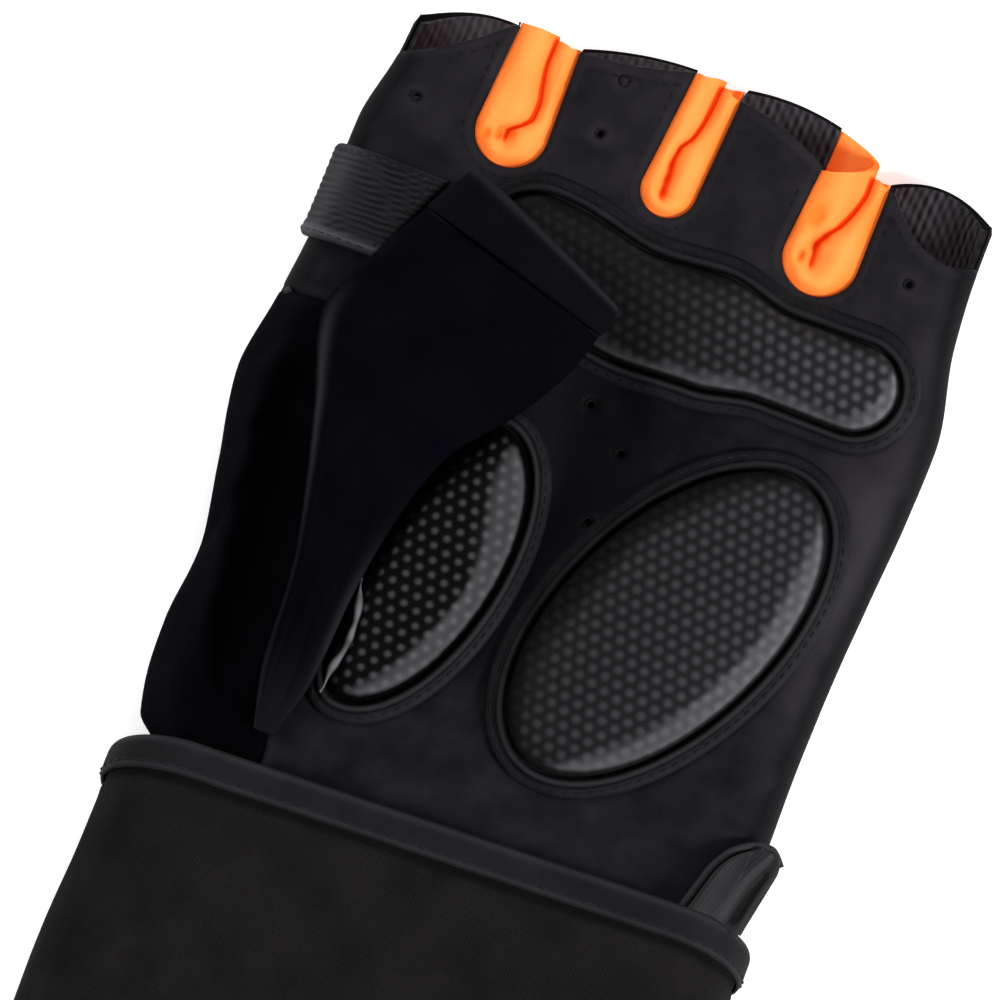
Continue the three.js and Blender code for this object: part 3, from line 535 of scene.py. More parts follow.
def split(tree, place, pitch):
    """Coordinates as two angles, with a whole turn to each pitch."""
    parts = node(tree, "ShaderNodeSeparateXYZ", {"Vector": place})
    return [calc(tree, "DIVIDE", calc(tree, "MULTIPLY", parts.outputs[k], math.tau), pitch) for k in range(2)]


# In the patterns below the numbers weigh waves and noise against each other, and bring height and tone to a
# mean of about a half or less

def woven(tree, place, pitch):
    """Plain weave: the product of two sines, with fuzz, and a tone that drifts over the cloth."""
    u, v = split(tree, place, pitch)
    weave = calc(tree, "MULTIPLY", calc(tree, "SINE", u), calc(tree, "SINE", v))
    fuzz = noise(tree, place, 3.1, 3.0)
    height = calc(tree, "MULTIPLY_ADD", fuzz, 1.3, calc(tree, "MULTIPLY_ADD", weave, 0.35, 0.2))
    drift = noise(tree, place, 0.09, 3.0)
    tone = calc(tree, "MULTIPLY_ADD", height, 0.35, calc(tree, "MULTIPLY_ADD", drift, 1.6, -0.6))
    return height, tone


def ribbed(tree, place, pitch):
    """Knit ribs: one sine across, pushed aside by slow noise, with crossing stitches half as far apart."""
    push = calc(tree, "MULTIPLY", noise(tree, place, 0.35), 5.0)
    u, v = split(tree, place, pitch)
    ribs = calc(tree, "SINE", calc(tree, "ADD", v, push))
    ticks = calc(tree, "SINE", calc(tree, "MULTIPLY", u, 2.0))
    height = calc(tree, "MULTIPLY_ADD", ribs, 0.4, calc(tree, "MULTIPLY_ADD", ticks, 0.12, 0.5))
    tone = calc(tree, "MULTIPLY_ADD", height, 0.7, calc(tree, "MULTIPLY", noise(tree, place, 0.2), 0.5))
    return height, tone


def meshed(tree, place, pitch):
    """Mesh knit: fine columns with staggered holes between them."""
    u, v = split(tree, place, pitch)
    half_turns = [calc(tree, "MULTIPLY", angle, 0.5) for angle in (v, u)]
    stagger = calc(tree, "SINE", calc(tree, "ADD", *half_turns))
    columns = calc(tree, "SINE", u)
    height = calc(tree, "MULTIPLY_ADD", columns, 0.45, calc(tree, "MULTIPLY_ADD", stagger, 0.3, 0.5))
    tone = calc(tree, "MULTIPLY_ADD", height, 0.9, calc(tree, "MULTIPLY", noise(tree, place, 1.1), 0.4))
    return height, tone


def grained(tree, place, pitch):
    """Leather grain: cells a pitch apart with fine noise, and a tone that drifts."""
    fuzz = calc(tree, "MULTIPLY", noise(tree, place, 5.0, 3.0), 0.7)
    height = calc(tree, "MULTIPLY_ADD", cells(tree, place, pitch), -0.6, fuzz)
    tone = calc(tree, "MULTIPLY_ADD", noise(tree, place, 0.15, 3.0), 1.6, -0.6)
    return height, tone


def pebbled(tree, place, pitch):
    """Fine grain of an even tone: cells a pitch apart."""
    distance = cells(tree, place, pitch)
    return calc(tree, "MULTIPLY", distance, -0.6), calc(tree, "MULTIPLY", distance, 0.12)


PATTERNS = {
    "woven": pattern_group("Plain Weave", woven),
    "ribbed": pattern_group("Knit Ribs", ribbed),
    "meshed": pattern_group("Mesh Knit", meshed),
    "grained": pattern_group("Leather Grain", grained),
    "pebbled": pattern_group("Fine Pebbles", pebbled),
}


# Finishes: a pattern with its pitch and depth in millimetres, how far its tone shows (mottling), the plain
# colour (base), the colour of the lightest places, which carry painted light and wear (lit_and_worn), the
# roughness of both, the specular level and a painted glow
FINISHES = {
    "palm_cloth": {
        "pattern": "grained", "pitch": 0.6, "bump": 0.06, "mottling": 0.4,
        "base": (0.0026, 0.0022, 0.0032), "lit_and_worn": (0.026, 0.0235, 0.0275),
        "rough": (0.7, 0.6), "specular": 0.04,
    },
    "back_cloth": {
        "pattern": "woven", "pitch": 0.7, "bump": 0.1, "mottling": 0.4,
        "base": (0.0045, 0.004, 0.005), "lit_and_worn": (0.012, 0.011, 0.013),
        "rough": (0.85, 0.8), "specular": 0.04,
    },
    # The gusset's own dark cloth made darker still, as painted shade for its valley
    "gusset_cloth": {
        "pattern": "woven", "pitch": 0.5, "bump": 0.06, "mottling": 0.25,
        "base": (0.0005, 0.0004, 0.0008), "lit_and_worn": (0.004, 0.0038, 0.006),
        "rough": (0.9, 0.85), "specular": 0.01,
    },
    "sleeve_cloth": {
        "pattern": "woven", "pitch": 0.45, "bump": 0.06, "mottling": 0.05,
        "base": (0.0009, 0.0007, 0.0018), "lit_and_worn": (0.03, 0.028, 0.033),
        "rough": (0.85, 0.6), "specular": 0.01,
    },
    "orange_cloth": {
        "pattern": "woven", "pitch": 0.4, "bump": 0.04, "mottling": 0.45,
        "base": (0.92, 0.165, 0.02), "lit_and_worn": (0.98, 0.29, 0.065),
        "rough": (0.75, 0.7), "specular": 0.02, "painted_glow": 0.14,
    },
    "pad_leather": {
        "pattern": "pebbled", "pitch": 0.35, "bump": 0.02, "mottling": 0.3,
        "base": (0.0014, 0.0013, 0.0016), "lit_and_worn": (0.105, 0.1, 0.108),
        "rough": (0.5, 0.38), "specular": 0.035,
    },
    "welt_cloth": {
        "pattern": "grained", "pitch": 0.5, "bump": 0.04, "mottling": 0.3,
        "base": (0.0036, 0.0032, 0.004), "lit_and_worn": (0.026, 0.024, 0.027),
        "rough": (0.6, 0.5), "specular": 0.05,
    },
    "ribbed_knit": {
        "pattern": "ribbed", "pitch": 1.1, "bump": 0.08, "mottling": 0.28,
        "base": (0.0038, 0.0034, 0.0042), "lit_and_worn": (0.06, 0.056, 0.062),
        "rough": (0.65, 0.55), "specular": 0.04,
    },
    "mesh_knit": {
        "pattern": "meshed", "pitch": 1.3, "bump": 0.1, "mottling": 0.4,
        "base": (0.006, 0.0055, 0.0066), "lit_and_worn": (0.075, 0.07, 0.079),
        "rough": (0.8, 0.75), "specular": 0.04,
    },
    "wrap_elastic": {
        "pattern": "woven", "pitch": 0.8, "bump": 0.2, "mottling": 0.75,
        "base": (0.0048, 0.0042, 0.0046), "lit_and_worn": (0.014, 0.0125, 0.0132),
        "rough": (0.85, 0.8), "specular": 0.03,
    },
    "binding_tape": {
        "pattern": "woven", "pitch": 0.6, "bump": 0.07, "mottling": 0.3,
        "base": (0.0034, 0.003, 0.0036), "lit_and_worn": (0.03, 0.028, 0.031),
        "rough": (0.7, 0.6), "specular": 0.04,
    },
    "hook_tape": {
        "pattern": "meshed", "pitch": 0.7, "bump": 0.12, "mottling": 0.4,
        "base": (0.006, 0.0055, 0.0065), "lit_and_worn": (0.014, 0.013, 0.015),
        "rough": (0.7, 0.7), "specular": 0.05,
    },
    "loop_tape": {
        "pattern": "ribbed", "pitch": 0.8, "bump": 0.03, "mottling": 0.15,
        "base": (0.003, 0.0027, 0.0034), "lit_and_worn": (0.052, 0.049, 0.054),
        "rough": (0.55, 0.45), "specular": 0.08,
    },
}
# Tint of the painted glow, an emission that brightens the orange cloth by itself
PAINTED_GLOW_TINT = (1, 0.1, 0.006, 1)

# Sockets of a colour mix: the two colours, and the result
MIX_BASE, MIX_LIT_AND_WORN, MIX_RESULT = 6, 7, 2


def make_material(name, pattern, pitch, base, lit_and_worn, rough, bump, specular, mottling, painted_glow=0):
    """Cloth or leather: the pattern gives relief and tone, and the painted_light_and_wear attribute marks
    lighter parts, painted light as well as wear. The painted glow is emission that brightens the orange cloth
    beyond what the lamps give it, standing in part for its fluorescence."""
    material = bpy.data.materials.new(name)
    material.use_nodes = True
    tree = material.node_tree
    shader = tree.nodes["Principled BSDF"]
    place = node(tree, "ShaderNodeUVMap", uv_map="weave").outputs["UV"]
    relief = node(tree, "ShaderNodeGroup", node_tree=PATTERNS[pattern])
    tree.links.new(place, relief.inputs["Coordinates"])
    relief.inputs["Pitch"].default_value = pitch
    painted_light_and_wear = node(tree, "ShaderNodeAttribute", attribute_name="painted_light_and_wear").outputs["Fac"]
    share = calc(tree, "MULTIPLY_ADD", relief.outputs["Tone"], mottling, painted_light_and_wear)
    share = node(tree, "ShaderNodeClamp", {"Value": share}).outputs[0]
    colour = node(tree, "ShaderNodeMix", {"Factor": share}, data_type="RGBA")
    colour.inputs[MIX_BASE].default_value = (*base, 1)
    colour.inputs[MIX_LIT_AND_WORN].default_value = (*lit_and_worn, 1)
    tree.links.new(colour.outputs[MIX_RESULT], shader.inputs["Base Color"])
    gloss = node(tree, "ShaderNodeMix", {"Factor": share, "A": rough[0], "B": rough[1]})
    tree.links.new(gloss.outputs[0], shader.inputs["Roughness"])
    raised = node(tree, "ShaderNodeBump", {"Height": relief.outputs["Height"], "Distance": bump * MM})
    tree.links.new(raised.outputs[0], shader.inputs["Normal"])
    shader.inputs["Specular IOR Level"].default_value = specular
    shader.inputs["Emission Color"].default_value = PAINTED_GLOW_TINT
    shader.inputs["Emission Strength"].default_value = painted_glow
    return material


MATERIALS = {name: make_material(name, **finish) for name, finish in FINISHES.items()}


# Edges of the panels, as fields in millimetres: positive where the cloth is cut away

def slot_field(slot, x, y):
    """How deep a point lies in a finger slot: a straight-sided slot with a round bottom."""
    slot_x, at, half, end_half, lean = slot
    radius = across(half)
    arc_y = along(at) + radius
    share = np.clip((y - arc_y) / (FINGER_LENGTH - radius), 0, 1)
    inside = lerp(radius, across(end_half), share) - np.abs(x - across(slot_x) - lean * (y - arc_y))
    return np.where(y > arc_y, inside, radius - np.hypot(x - across(slot_x), y - arc_y))


# The border between two fingers lies this share right of the slot's bottom, because the slots lean. A
# finger's end curve is followed this far past its sides.
BORDER_SHIFT = 0.03
END_REACH = 1.12


def finger_end(finger, side, place):
    """Y of a finger's end at a place across it, -1 to 1: a level with a tilt and a crown."""
    middle, tilt, crown = FINGERS[finger][2 + side]
    return along(1) + FINGER_LENGTH * (middle + tilt * place - crown * place * place)


def end_field(side, x, y):
    """How far a point lies past the finger ends. The ends meet in the middle of each slot."""
    borders = [across(slot[0] + BORDER_SHIFT) for slot in SLOTS]
    finger = np.searchsorted(borders, x)
    edge = np.zeros_like(y)
    for k, (finger_x, half, *_) in enumerate(FINGERS):
        place = np.clip((x - across(finger_x)) / across(half), -END_REACH, END_REACH)
        edge = np.where(finger == k, finger_end(k, side, place), edge)
    return y - edge


def gusset_seam_x(y):
    """X of the seam between the palm and the side gusset."""
    return across(column(GUSSET_SEAM, "x", y / HAND_LENGTH + ORIGIN_ALONG))


def gusset_field(x, y):
    """How deep a point lies in the side gusset's region."""
    return np.minimum(gusset_seam_x(y) - x, along(GUSSET_TOP) - y)


def hole_edge():
    """The thumb hole's right edge as y and x, at a fixed share across the sleeve."""
    at = np.linspace(HOLE_START, HOLE_END, 12)
    x, y = (lerp(column(SLEEVE, "left" + axis, at), column(SLEEVE, "right" + axis, at), HOLE_REACH)
            for axis in "XY")
    return along(y), across(x)


def hole_field(x, y):
    """How deep a point lies in the thumb hole, between its right edge and the gusset's seam."""
    edge_y, edge_x = hole_edge()
    high = along(column(SLEEVE, "leftY", HOLE_END))
    sides = np.minimum(x - gusset_seam_x(y), np.interp(y, edge_y, edge_x) - x)
    return np.minimum(sides, np.minimum(y - edge_y[0], high - y))


# Share of the way round a section that each shoulder takes
ROUND_SHARE = 0.12


def section_x(share, y):
    """X for a share of the way round a section, and the distance there from the nearer side seam. The first
    and the last shares run round the shoulders by even angles."""
    left, right, *_ = hand_at(y)
    near = np.minimum(share, 1 - share)
    angle = np.clip(near / ROUND_SHARE, 0, 1) * np.pi / 2
    inner = np.clip((near - ROUND_SHARE) / (1 - 2 * ROUND_SHARE), 0, 1)
    inwards = SIDE_ROUND * (1 - np.cos(angle)) + inner * (right - left - 2 * SIDE_ROUND)
    x = np.where(share < 0.5, left + inwards, right - inwards)
    return x, SIDE_ROUND * angle + inner * (right - left)


# Panels: how far the cloth rolls in at an edge and over what distance, how much thinner it gets there, and
# the distance over which its relief grows
EDGE_ROLL, EDGE_ROUND, EDGE_THIN, RELIEF_GROWTH = 0.6, 1.2, 0.35, 4

# Steps that bring the grid's edge onto a cut: their number, the longest of them, how near the edge has to be,
# and the two small distances by which the field's slope is measured
CUT_STEPS, CUT_STRIDE, CUT_REACH = 5, 0.8, 1.1
SHARE_NUDGE, Y_NUDGE = 2e-4, 0.02
FLATTEST_SLOPE = 0.05
SEAM_SHARE = 1e-6


def pull_to_cut(field, s, v, edge):
    """Moves the edge's vertices onto the line where the field is 0: each step is the field's value over its
    squared slope, along the slope. A whole share counts for one width of the hand."""
    edge = edge[np.abs(field(s[edge], v[edge])) < CUT_REACH]
    for _ in range(CUT_STEPS):
        share, y = s[edge], v[edge]
        rise_s = field(share + SHARE_NUDGE, y) - field(share - SHARE_NUDGE, y)
        rise_v = field(share, y + Y_NUDGE) - field(share, y - Y_NUDGE)
        slope_s = rise_s / (2 * SHARE_NUDGE * HAND_WIDTH)
        slope_v = rise_v / (2 * Y_NUDGE)
        step = field(share, y) / np.maximum(slope_s ** 2 + slope_v ** 2, FLATTEST_SLOPE)
        step = np.clip(step, -CUT_STRIDE, CUT_STRIDE)
        inside = (share > SEAM_SHARE) & (share < 1 - SEAM_SHARE)
        s[edge] = np.clip(share - np.where(inside, step * slope_s / HAND_WIDTH, 0), 0, 1)
        v[edge] = y - step * slope_v


def panel(name, slot, height, sign, shares, ys, removed, relief, thicker=None, tone=None):
    """Cloth panel over the hand. The grid's faces that lie past a cut are left out, and the vertices left
    on the cut's edge are moved onto it. Towards every edge the cloth rolls in by a quarter circle. Thicker
    adds to its wall on the inner side, and tone to its lightness."""
    share, y = np.meshgrid(shares, ys)
    rows, columns = share.shape

    def field(s, v):
        return removed(section_x(s, v)[0], v)

    faces = grid_faces(rows, columns)
    s, v = share.ravel().copy(), y.ravel().copy()
    kept = faces[field(s[faces].mean(1), v[faces].mean(1)) < 0]
    pull_to_cut(field, s, v, np.unique(open_edges(kept, len(s))))
    s, v = s.reshape(rows, columns), v.reshape(rows, columns)
    x, from_side = section_x(s, v)
    base = np.stack([x, v, height(x, v)], -1)
    normal = sign * grid_normals(base)
    depth = np.minimum(np.maximum(-removed(x, v), 0), from_side)
    rolled = EDGE_ROLL * (1 - shoulder(depth, EDGE_ROUND))
    grown = relief(x, v) * smooth(depth / RELIEF_GROWTH)
    outer = base + normal * (grown - rolled)[..., None]
    thick = FABRIC_WALL - EDGE_THIN * rolled - grown
    if thicker:
        thick = thick + thicker(x, v)
    inner = base - normal * thick[..., None]
    # Painted highlight along the crest of the rolled edge, just inside every cut
    painted_light_and_wear = 0.2 * bell(depth - 0.9, 0.7)
    if tone:
        painted_light_and_wear = painted_light_and_wear + tone(x, v)
    shell_piece(name, outer, inner, slot, [name], kept, painted_light_and_wear)


def shares_between(low, high, edge_count, middle_count):
    """Shares with even steps round the shoulders and over the middle."""
    ends = np.linspace(0, ROUND_SHARE, edge_count, endpoint=False)
    middle = np.linspace(ROUND_SHARE, 1 - ROUND_SHARE, middle_count)
    every = np.concatenate([ends, middle, 1 - ends[::-1]])
    return every[(every >= low) & (every <= high)]


PANEL_ROWS = 212
ROWS_Y = np.linspace(along(HAND["at"][0]), along(HAND["at"][-1]), PANEL_ROWS)
PALM_SHARES = shares_between(0, 1, 14, 128)

# Each vent sits on the nearest crossing of the palm's grid, so that its edge is even all round
palm_x = section_x(*np.meshgrid(PALM_SHARES, ROWS_Y))[0]
vent_points = []
for vent_x, vent_at in VENTS:
    row = np.abs(ROWS_Y - along(vent_at)).argmin()
    vent_points.append((palm_x[row, np.abs(palm_x[row] - across(vent_x)).argmin()], ROWS_Y[row]))


# The palm ends this far before the gusset begins
GUSSET_GAP = 0.05


def palm_removed(x, y):
    """How deep a point lies past the palm's cuts: the greatest of their fields."""
    cuts = [slot_field(slot, x, y) for slot in SLOTS]
    cuts += [end_field(0, x, y), gusset_field(x, y) + GUSSET_GAP, hole_field(x, y)]
    cuts += [VENT_BORE / 2 - np.hypot(x - vent_x, y - vent_y) for vent_x, vent_y in vent_points]
    return np.maximum.reduce(cuts)


# Folds: both ends' x and y, half width and depth
PALM_CREASES = (
    (-14, -38, 6, -8, 2.4, 0.5),
    (-6, -40, 20, -30, 2.0, 0.35),
    (2, 6, -8, 34, 3.0, 0.45),
    (12, 20, 0, 38, 2.2, 0.35),
    (38, 14, 50, 30, 2.2, 0.4),
    (40, 44, 52, 38, 1.8, 0.35),
    (-30, 52, -24, 62, 1.6, 0.35),
    (-14, 60, -16, 78, 2.0, 0.3),
    (14, 60, 12, 76, 2.0, 0.3),
    (40, 56, 44, 70, 1.8, 0.3),
    (-50, 48, -44, 60, 1.8, 0.4),
    (-24, -44, -10, -40, 1.4, 0.35),
)


def palm_cloth_relief(x, y):
    """Pressed folds with slow and quick unevenness."""
    return creases(x, y, PALM_CREASES) + 0.16 * ripple(x, y, 24, 3) + 0.05 * ripple(x, y, 7, 4)


# Painted light and painted shade on the palm: x, y, half width, half length and tone
PALM_PAINTED_LIGHT_AND_SHADE = (
    (2, 24, 17, 17, -0.25),
    (-4, 0, 10, 26, -0.2),
    (50, 22, 13, 26, 0.75),
    (12, -34, 34, 16, 0.12),
)

# Lightness elsewhere, what the fingers add to it from a y on and over a distance, and the painted shade at the
# sides
PALM_GROUND = 0.05
FINGER_LIGHTENING, FINGERS_FROM, FINGERS_OVER = 0.17, 44, 14
TURNED_PAINTED_SHADE, TURNED_FROM, TURNED_OVER = -0.3, 0.4, 4.5


def palm_light_and_shade(x, y):
    """Painted light towards the little finger's side and the heel, lighter towards the fingers, and painted
    shade
    in the cup: a bell curve for each place. Painted shade darkens it where the cloth turns away at the sides."""
    tone = PALM_GROUND + FINGER_LIGHTENING * smooth((y - FINGERS_FROM) / FINGERS_OVER)
    for spot_x, spot_y, wide, long, much in PALM_PAINTED_LIGHT_AND_SHADE:
        tone = tone + much * bell(x - spot_x, wide) * bell(y - spot_y, long)
    left, right, *_ = hand_at(y)
    level = smooth((np.minimum(x - left, right - x) - TURNED_FROM) / TURNED_OVER)
    return tone * level + TURNED_PAINTED_SHADE * (1 - level)


panel("palm_panel", "palm_cloth", palm_top, 1, PALM_SHARES, ROWS_Y, palm_removed, palm_cloth_relief,
      tone=palm_light_and_shade)


def back_removed(x, y):
    """How deep a point lies past the back's cuts: the slots and the finger ends."""
    return np.maximum.reduce([slot_field(slot, x, y) for slot in SLOTS] + [end_field(1, x, y)])


# The most that the back's cloth thins at its ends
END_THINNING = 0.85


def end_taper(x, y):
    """Change of the cloth's thickness: it thins by a bell curve of the distance from the finger ends, and
    from the side seams where the palm is cut back."""
    left, right, *_ = hand_at(y)
    at_side = bell(np.minimum(x - left, right - x), 1.6) * smooth((end_field(0, x, y) + 2.5) / 3)
    return -END_THINNING * np.maximum(bell(end_field(1, x, y), 2.2), at_side)


def back_cloth_relief(x, y):
    """Slight unevenness that only goes inwards, since the back rests on the table."""
    return -0.12 * (1 + ripple(x, y, 21, 8))


panel("back_panel", "back_cloth", back_under, -1, shares_between(0, 1, 11, 84), ROWS_Y[::2],
      back_removed, back_cloth_relief, end_taper)

# Folds of the gusset: both ends' x and y, half width and depth
GUSSET_CREASES = (
    (-49, -34, -43, -6, 1.5, 0.9),
    (-56, -20, -48, 6, 1.3, 0.6),
    (-55, 2, -46, 20, 1.4, 0.8),
    (-58, 16, -50, 29, 1.2, 0.6),
    (-41, -20, -46, 8, 1.2, 0.7),
)


def gusset_relief(x, y):
    """Pulled folds along the valley and across the outer bulge."""
    return creases(x, y, GUSSET_CREASES) + 0.2 * ripple(x, y, 9, 12)


def gusset_painted_highlight(x, y):
    """Painted highlight along the outer bulge, where the light falls on it: a bell curve of the distance from
    the side.
    """
    return 0.55 * bell(x - hand_at(y)[0] - 3.5, 3)


panel("side_gusset", "gusset_cloth", palm_top, 1, shares_between(0, 0.46, 16, 150),
      ROWS_Y[ROWS_Y < along(GUSSET_TOP) + 2], lambda x, y: -gusset_field(x, y), gusset_relief,
      tone=gusset_painted_highlight)


# Ribbed patch on the index finger's side: its ribs, how far its inner side lies over the palm, and its rolled
# edge
RIB_PITCH = 1.25
RIB_LEAN = 0.22
RIB_HEIGHT = 0.07
PATCH_SEAT = 0.1
PATCH_ROLL, PATCH_ROUND = 0.8, 1.3


def build_patch():
    """Follows the palm, with real ribs that wander a little, a rolled edge and a bead along its lower end."""
    t, s = np.meshgrid(np.linspace(0, 1, 110), np.linspace(0, 1, 84), indexing="ij")
    y = along(lerp(PATCH_LOW, PATCH_HIGH, t))
    edge = across(lerp(PATCH_LOW_X, PATCH_HIGH_X, t))
    left = hand_at(y)[0]
    x = lerp(left, edge, 1 - np.cos(s * np.pi / 2))
    base = np.stack([x, y, palm_top(x, y)], -1)
    normal = grid_normals(base)
    length = (PATCH_HIGH - PATCH_LOW) * HAND_LENGTH
    from_edge = np.maximum(np.minimum(np.minimum(t, 1 - t) * length, edge - x), 0)
    ribs = np.sin(TURN * (y - RIB_LEAN * x + 0.5 * ripple(x, y, 9, 21)) / RIB_PITCH)
    ribbed_share = smooth(from_edge / 1.5)
    lift = SEAM_GAP + PATCH_WALL + RIB_HEIGHT * ribs * ribbed_share
    lift = lift - PATCH_ROLL * (1 - shoulder(from_edge, PATCH_ROUND))
    low_bead = bell(t * length - 1.1, 0.8)
    side_bead = bell(s - 0.32, 0.13)
    outer = base + normal * (lift + 0.25 * low_bead)[..., None]
    # Painted highlight along the lower bead; the rib crests and a line along the patch a third of the way
    # across are lighter too
    painted_light_and_wear = np.clip(0.03 + 0.06 * ribs, 0, 1) * ribbed_share + 0.8 * low_bead + 0.3 * side_bead
    shell_piece("index_patch", outer, base + normal * PATCH_SEAT, "ribbed_knit", ["index_patch"], painted_light_and_wear=painted_light_and_wear)
    for row in (-7, 6):
        sew("palm", outer[row, 4:-4], normal[row, 4:-4], **PATCH_STITCH)
    sew("palm", outer[5:-5, -7], normal[5:-5, -7], **PATCH_STITCH)


build_patch()


# Puffy strips between the fingers: the crease's place along the slot's arm and its offset from the
# slot's middle in shares of the half width, then dents as arm place, side, depth and size
CREASES = {
    "fourchette_index_middle": (table(
        "at offset",
        (0, -0.1), (0.1, 0.25), (0.2, 0.45), (0.35, 0.47), (0.55, 0.36), (0.8, 0.24), (1, 0.25),
    ), ((-0.08, -0.3, 1.3, 0.9), (-0.03, 0.05, 1.1, 0.8), (-0.12, -0.6, 0.6, 0.9))),
    "fourchette_middle_ring": (table(
        "at offset",
        (0, -0.16), (0.15, -0.2), (0.3, -0.3), (0.45, -0.28), (0.6, 0.0), (0.8, 0.15), (1, 0.2),
    ), ((-0.06, -0.1, 1.3, 0.9), (0.1, -0.2, 1.2, 0.9), (0.24, -0.25, 0.7, 0.9))),
    "fourchette_ring_little": (table(
        "at offset",
        (0, -0.2), (0.1, -0.26), (0.2, -0.15), (0.35, 0.15), (0.55, 0.38), (0.75, 0.5), (1, 0.48),
    ), ((0.36, -0.5, 0.9, 2.0), (-0.05, -0.5, 1.1, 0.9), (0.1, -0.25, 1.4, 1.1), (0.2, -0.1, 1.0, 0.9))),
}


# Strips: share of the finger's length over which the crease's table runs, how crowded the points are near the
# crease, how far the two halves lap there, how square the lobes are, and how deep the strip's edges sit
CREASE_SPAN = 0.8
CREASE_CROWDING = 1.35
CREASE_LAP = 0.06
LOBE_SQUARENESS = 0.22
STRIP_SEAT = 0.35


def slot_course():
    """The way round a slot, down its left side, round its bottom and up its right side: which side it is on
    (-1 to 1), how far up (1 is the end of the side) and how far round the bottom (0 to 1)."""
    arm = np.linspace(1, 0, 70, endpoint=False)
    arc = np.linspace(0, 1, 56)
    ones = np.ones_like(arm)
    side = np.concatenate([-ones, -np.cos(arc * np.pi), ones])[:, None]
    climb = np.concatenate([arm, np.zeros_like(arc), arm[::-1]])[:, None]
    turned = np.concatenate([0 * ones, arc, ones])[:, None]
    return side, climb, turned


def build_fourchette(number, name):
    """Folded strip round a slot. Every section runs from the slot's edge to the crease and back along a
    superellipse, so its lobes are flat on top and turn down sharply at the crease. The crease wanders, and
    round the slot's bottom all sections lead to its lower end."""
    slot_x, at, half, end_half, lean = SLOTS[number]
    radius = across(half)
    arc_y = along(at) + radius
    crease_top = along(1) + CREASE_SPAN * FINGER_LENGTH
    line, dents = CREASES[name]
    which_side, climb, turned = slot_course()
    in_arc = climb == 0
    spread = np.linspace(-1, 1, 60)
    phi = (np.pi / 2 * (1 + np.sign(spread) * np.abs(spread) ** CREASE_CROWDING))[None, :]

    # The slot's edge
    t = phi / np.pi
    end_left = lerp(finger_end(number, 0, 1), finger_end(number, 1, 1), t)
    end_right = lerp(finger_end(number + 1, 0, -1), finger_end(number + 1, 1, -1), t)
    y_end = np.where(which_side < 0, end_left, end_right) - 0.5 * smooth((t - 0.5) * 2)
    y = lerp(arc_y, y_end, climb)
    middle = across(slot_x) + lean * (y - arc_y)
    room = lerp(radius, across(end_half), np.clip((y - arc_y) / (FINGER_LENGTH - radius), 0, 1))
    angle = np.pi * (1 + turned)
    edge_x = np.where(in_arc, across(slot_x) + radius * np.cos(angle), middle + np.sign(which_side) * room)
    edge_y = np.where(in_arc, arc_y + radius * np.sin(angle), y)

    # The crease, and the way to it from the edge
    crease_at = np.where(in_arc, 0, (y - arc_y) / (crease_top - arc_y))
    crease_x = middle + column(line, "offset", crease_at) * room
    crease_y = np.where(in_arc, arc_y - 0.25 * radius * np.sin(np.pi * turned), y)
    reach = np.maximum(np.hypot(crease_x - edge_x, crease_y - edge_y), 0.1)
    toward = np.sin(phi) ** 0.75 * (reach + CREASE_LAP) / reach
    inwards = toward * reach
    x = lerp(edge_x, crease_x, toward)
    place_y = lerp(edge_y, crease_y, toward)

    # Lobes with their puff, pleats and dents
    top = palm_top(edge_x, edge_y) - STRIP_SEAT
    low = back_under(edge_x, edge_y) + STRIP_SEAT
    side = np.sign(np.cos(phi))
    lobe = side * np.abs(np.cos(phi)) ** LOBE_SQUARENESS
    puff = np.sin(np.pi * np.clip(toward, 0, 1))
    seat = bell(inwards, 1.1)
    near_crease = bell(reach - inwards, 0.6)
    pillow = 0.45 * puff - 0.75 * seat - 0.7 * near_crease
    pleats = 0.16 * ripple(x * 1.6, place_y * 0.7, 6.5, 40 + number) * puff
    z = (top + low) / 2 + (top - low) / 2 * lobe + side * (pillow + pleats)
    knots = np.zeros_like(z)
    for dent_at, dent_side, deep, size in dents:
        dent_y = lerp(arc_y, crease_top, dent_at)
        dent_x = across(slot_x) + lean * (dent_y - arc_y) + dent_side * radius
        away = np.hypot((x - dent_x) * 1.5, place_y - dent_y) / size
        z = z - side * deep * bell(away, 1)
        knots = knots + bell(away, 1.1)
    outer = np.stack([x, place_y, z], -1)
    normal = grid_normals(outer)
    facing_out = 1 if ((outer - outer.mean((0, 1))) * normal)[:, 0, 2].mean() > 0 else -1
    inner = outer - facing_out * normal * FOURCHETTE_WALL * 0.8
    # Painted light on the puffed lobes away from their seat, and painted shade along the crease and in the
    # dents; the ripple is the cloth's own uneven tone
    painted_light_and_wear = 0.7 * puff * (1 - seat) - 0.5 * near_crease - 1.2 * knots
    painted_light_and_wear = painted_light_and_wear + 0.12 * ripple(x, place_y * 0.5, 5, 80 + number)
    strip = shell_piece(name, outer, inner, "orange_cloth", [name], painted_light_and_wear=painted_light_and_wear, crisp=70)
    strip.visible_glossy = False


for number, name in enumerate(CREASES):
    build_fourchette(number, name)


# Mesh facings inside the finger ends

# How far the knit stays inside the finger's end, inside the finger's sides and inside a side seam, how crowded
# its points are towards a side seam, the pitch of its ribs, and each finger's painted light and shade
FACING_TUCK = 0.45
FACING_MARGIN = 0.5
SEAM_MARGIN = 0.1
SIDE_CROWDING = 1.8
KNIT_PITCH = 1.65
FACING_PAINTED_LIGHT = (0.36, 0.3, 0.08, 0.02)


